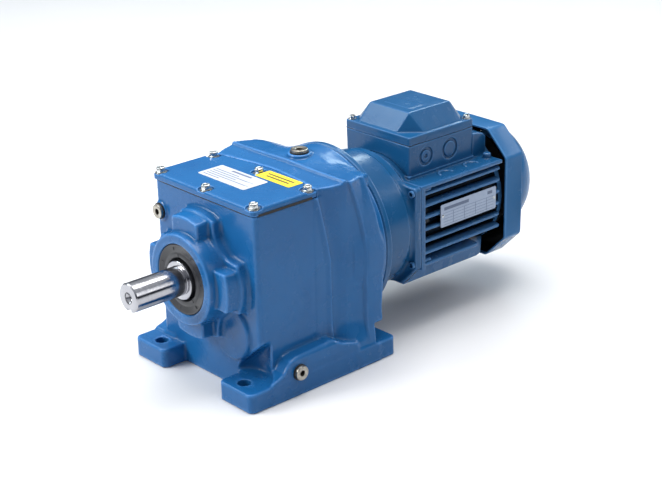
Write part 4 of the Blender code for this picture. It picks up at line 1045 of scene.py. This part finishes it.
# ---- labels and plate
def printed(name, node, axis, radius, thickness, slot, film, paper, ink, bars):
    """Thin printed sheet with rounded corners where a flat CAD label or plate lies."""
    low, high = node_box(node)
    which = "XYZ".index(axis)
    u, v = [n for n in range(3) if n != which]
    left, right, bottom, top = low[u] + radius, high[u] - radius, low[v] + radius, high[v] - radius
    outline = []
    for cu, cv, start in ((right, bottom, -90), (right, top, 0), (left, top, 90), (left, bottom, 180)):
        outline += circle(cu, cv, radius, 24, math.radians(start))[:7]
    base = low[which] - 0.1
    made = loft(name, [placed(outline, axis, at) for at in (base, base + thickness)])
    material = ruled_label(film, paper, ink, low, high, u, v, bars)
    dress(soften(made, 0.12, 1), "casing", slot, material, node)
    return material


# bars as left, right, bottom and top, in fractions of the sheet
rows = [(0.30, 0.72, 0.80, 0.90)]
rows += [(0.06, b, 0.64 - 0.13 * k, 0.69 - 0.13 * k) for k, b in enumerate((0.55, 0.80, 0.62, 0.88, 0.40))]
rows += [(0.62, 0.92, 0.53, 0.56), (0.70, 0.94, 0.27, 0.30)]
WHITE = printed("printed_data_label", "cover_data_label", "Z", 2.5, 0.35, "label_white",
                "printed_white_film", (0.56, 0.59, 0.66), (0.15, 0.17, 0.25), rows)

rows = [(0.12, 0.88, 0.58, 0.72), (0.18, 0.84, 0.30, 0.44)]
YELLOW = printed("printed_caution_label", "cover_caution_label", "Z", 1.5, 0.35, "label_yellow",
                 "printed_yellow_film", (0.90, 0.66, 0.035), (0.10, 0.08, 0.02), rows)

rows = [(0.06, 0.50, 0.72, 0.86)]
rows += [(0.05, 0.95, 0.60 - 0.13 * k, 0.615 - 0.13 * k) for k in range(5)]
rows += [(0.22 + 0.2 * k, 0.228 + 0.2 * k, 0.06, 0.60) for k in range(4)]
rows += [(0.84, 0.93, 0.74, 0.88)]
PLATE = printed("etched_motor_plate", "motor_nameplate", "X", 2.0, 0.8, "plate",
                "etched_plate_metal", (0.30, 0.36, 0.47), (0.10, 0.13, 0.20), rows)
PLATE.node_tree.nodes["Principled BSDF"].inputs["Metallic"].default_value = 0.55

low, high = node_box("motor_nameplate")
profile = from_face(high[0], [(0, 0.75), (0.9, 0.65), (1.6, 0.3), (1.8, -0.3), (1.2, -0.3), (1.2, -4.0),
                              (0, -4.0)])
for n, y in enumerate((low[1] + 3.2, high[1] - 3.2)):
    rivet = lathe(f"plate_rivet_{n + 1}", (y, (low[2] + high[2]) / 2), "X", profile, 32)
    dress(crisp(rivet, 40), "casing", "zinc", ZINC)


# ---- finishes of the pieces kept from the CAD
FINISH = {"gearbox_paint": GEARBOX_PAINT, "motor_paint": MOTOR_PAINT, "ground_steel": GROUND,
          "gear_steel": GEAR, "bearing_steel": BEARING, "zinc": ZINC, "nickel": NICKEL,
          "seal_rubber": RUBBER, "gasket": GASKET, "label_white": WHITE, "label_yellow": YELLOW,
          "plate": PLATE, "lamination": LAMINATION, "copper": COPPER, "plastic": PLASTIC}
for node, obj in frame["nodes"].items():
    if obj.hide_render:
        continue
    kept = obj.data.materials[0].name.split(".")[0] if obj.data.materials else "gear_steel"
    finish = FINISH.get(kept, GEAR)
    obj.data.materials.clear()
    obj.data.materials.append(finish)
    crisp_edges = obj.modifiers.new("shading", "EDGE_SPLIT")
    crisp_edges.split_angle = math.radians(30)

# ---- floor, light and camera
floor_material, tree, shader = new_material("studio_floor")
tone = noise(tree, coordinates(tree), 3.0, 2.0)
tree.links.new(mixed(tree, span(tree, tone, 0.3, 0.7, 0.0, 1.0), (0.71, 0.71, 0.72), (0.73, 0.73, 0.735)),
               shader.inputs["Base Color"])
shader.inputs["Roughness"].default_value = 0.65
bpy.ops.mesh.primitive_plane_add(size=30.0, location=(0, 0, -0.0006))
floor = bpy.context.object
floor.name = "studio_floor"
floor.data.materials.append(floor_material)

world = bpy.data.worlds.new("studio")
scene.world = world
world.use_nodes = True
sky = world.node_tree
direction = sky.nodes.new("ShaderNodeTexCoord").outputs["Generated"]
split = added(sky, "SeparateXYZ", Vector=direction)
tones = ramp(sky, span(sky, split.outputs[2], -0.1, 1.0, 0.0, 1.0),
             [(0.0, (0.10, 0.11, 0.14)), (0.22, (0.05, 0.06, 0.08)), (0.36, (0.16, 0.18, 0.22)),
              (0.55, (0.70, 0.74, 0.80)), (1.0, (0.95, 0.97, 1.0))])
sky.links.new(tones, sky.nodes["Background"].inputs["Color"])
sky.nodes["Background"].inputs["Strength"].default_value = 0.75


def lamp(name, at, size, power, colour=(1, 1, 1)):
    """Rectangular lamp that looks at the middle of the part."""
    data = bpy.data.lights.new(name, "AREA")
    data.shape = "RECTANGLE"
    data.size, data.size_y = size
    data.energy = power
    data.color = colour
    obj = in_scene(name, data)
    obj.location = at
    obj.rotation_mode = "QUATERNION"
    obj.rotation_quaternion = (Vector((0.0, 0.09, 0.10)) - Vector(at)).to_track_quat("-Z", "Y")


lamp("key", (-1.0, -1.6, 1.3), (1.0, 0.8), 38.0)
lamp("fill", (1.7, 0.9, 1.1), (0.3, 0.9), 2.0)
lamp("top", (-0.1, 0.3, 1.9), (1.3, 1.3), 36.0)
lamp("rim", (0.6, 1.9, 1.1), (1.0, 0.5), 7.0)
lamp("left_sheen", (-1.35, -0.6, 1.5), (0.7, 0.7), 9.0, (0.85, 0.97, 1.0))
lamp("rear_sheen", (-1.0, 1.7, 1.35), (0.5, 0.35), 6.0, (0.80, 0.97, 1.0))

AZIMUTH, ELEVATION, ROLL = math.radians(48.38), math.radians(22.16), math.radians(-1.37)
back = Vector((math.sin(AZIMUTH) * math.cos(ELEVATION), -math.cos(AZIMUTH) * math.cos(ELEVATION),
               math.sin(ELEVATION)))
right = (-back).cross(Vector((0, 0, 1))).normalized()
up = right.cross(-back)
across = right * math.cos(ROLL) + up * math.sin(ROLL)
upward = -right * math.sin(ROLL) + up * math.cos(ROLL)
eye = (1.14605, -0.9231, 0.71998)
lens = bpy.data.cameras.new("photo_lens")
lens.lens = 84.87
lens.sensor_width = 36.0
lens.clip_start = 0.01
lens.clip_end = 100.0
camera = in_scene("photo_camera", lens)
camera.matrix_world = Matrix((*zip(across, upward, back, eye), (0, 0, 0, 1)))
scene.camera = camera
scene.view_settings.view_transform = "Standard"
scene.view_settings.look = "None"
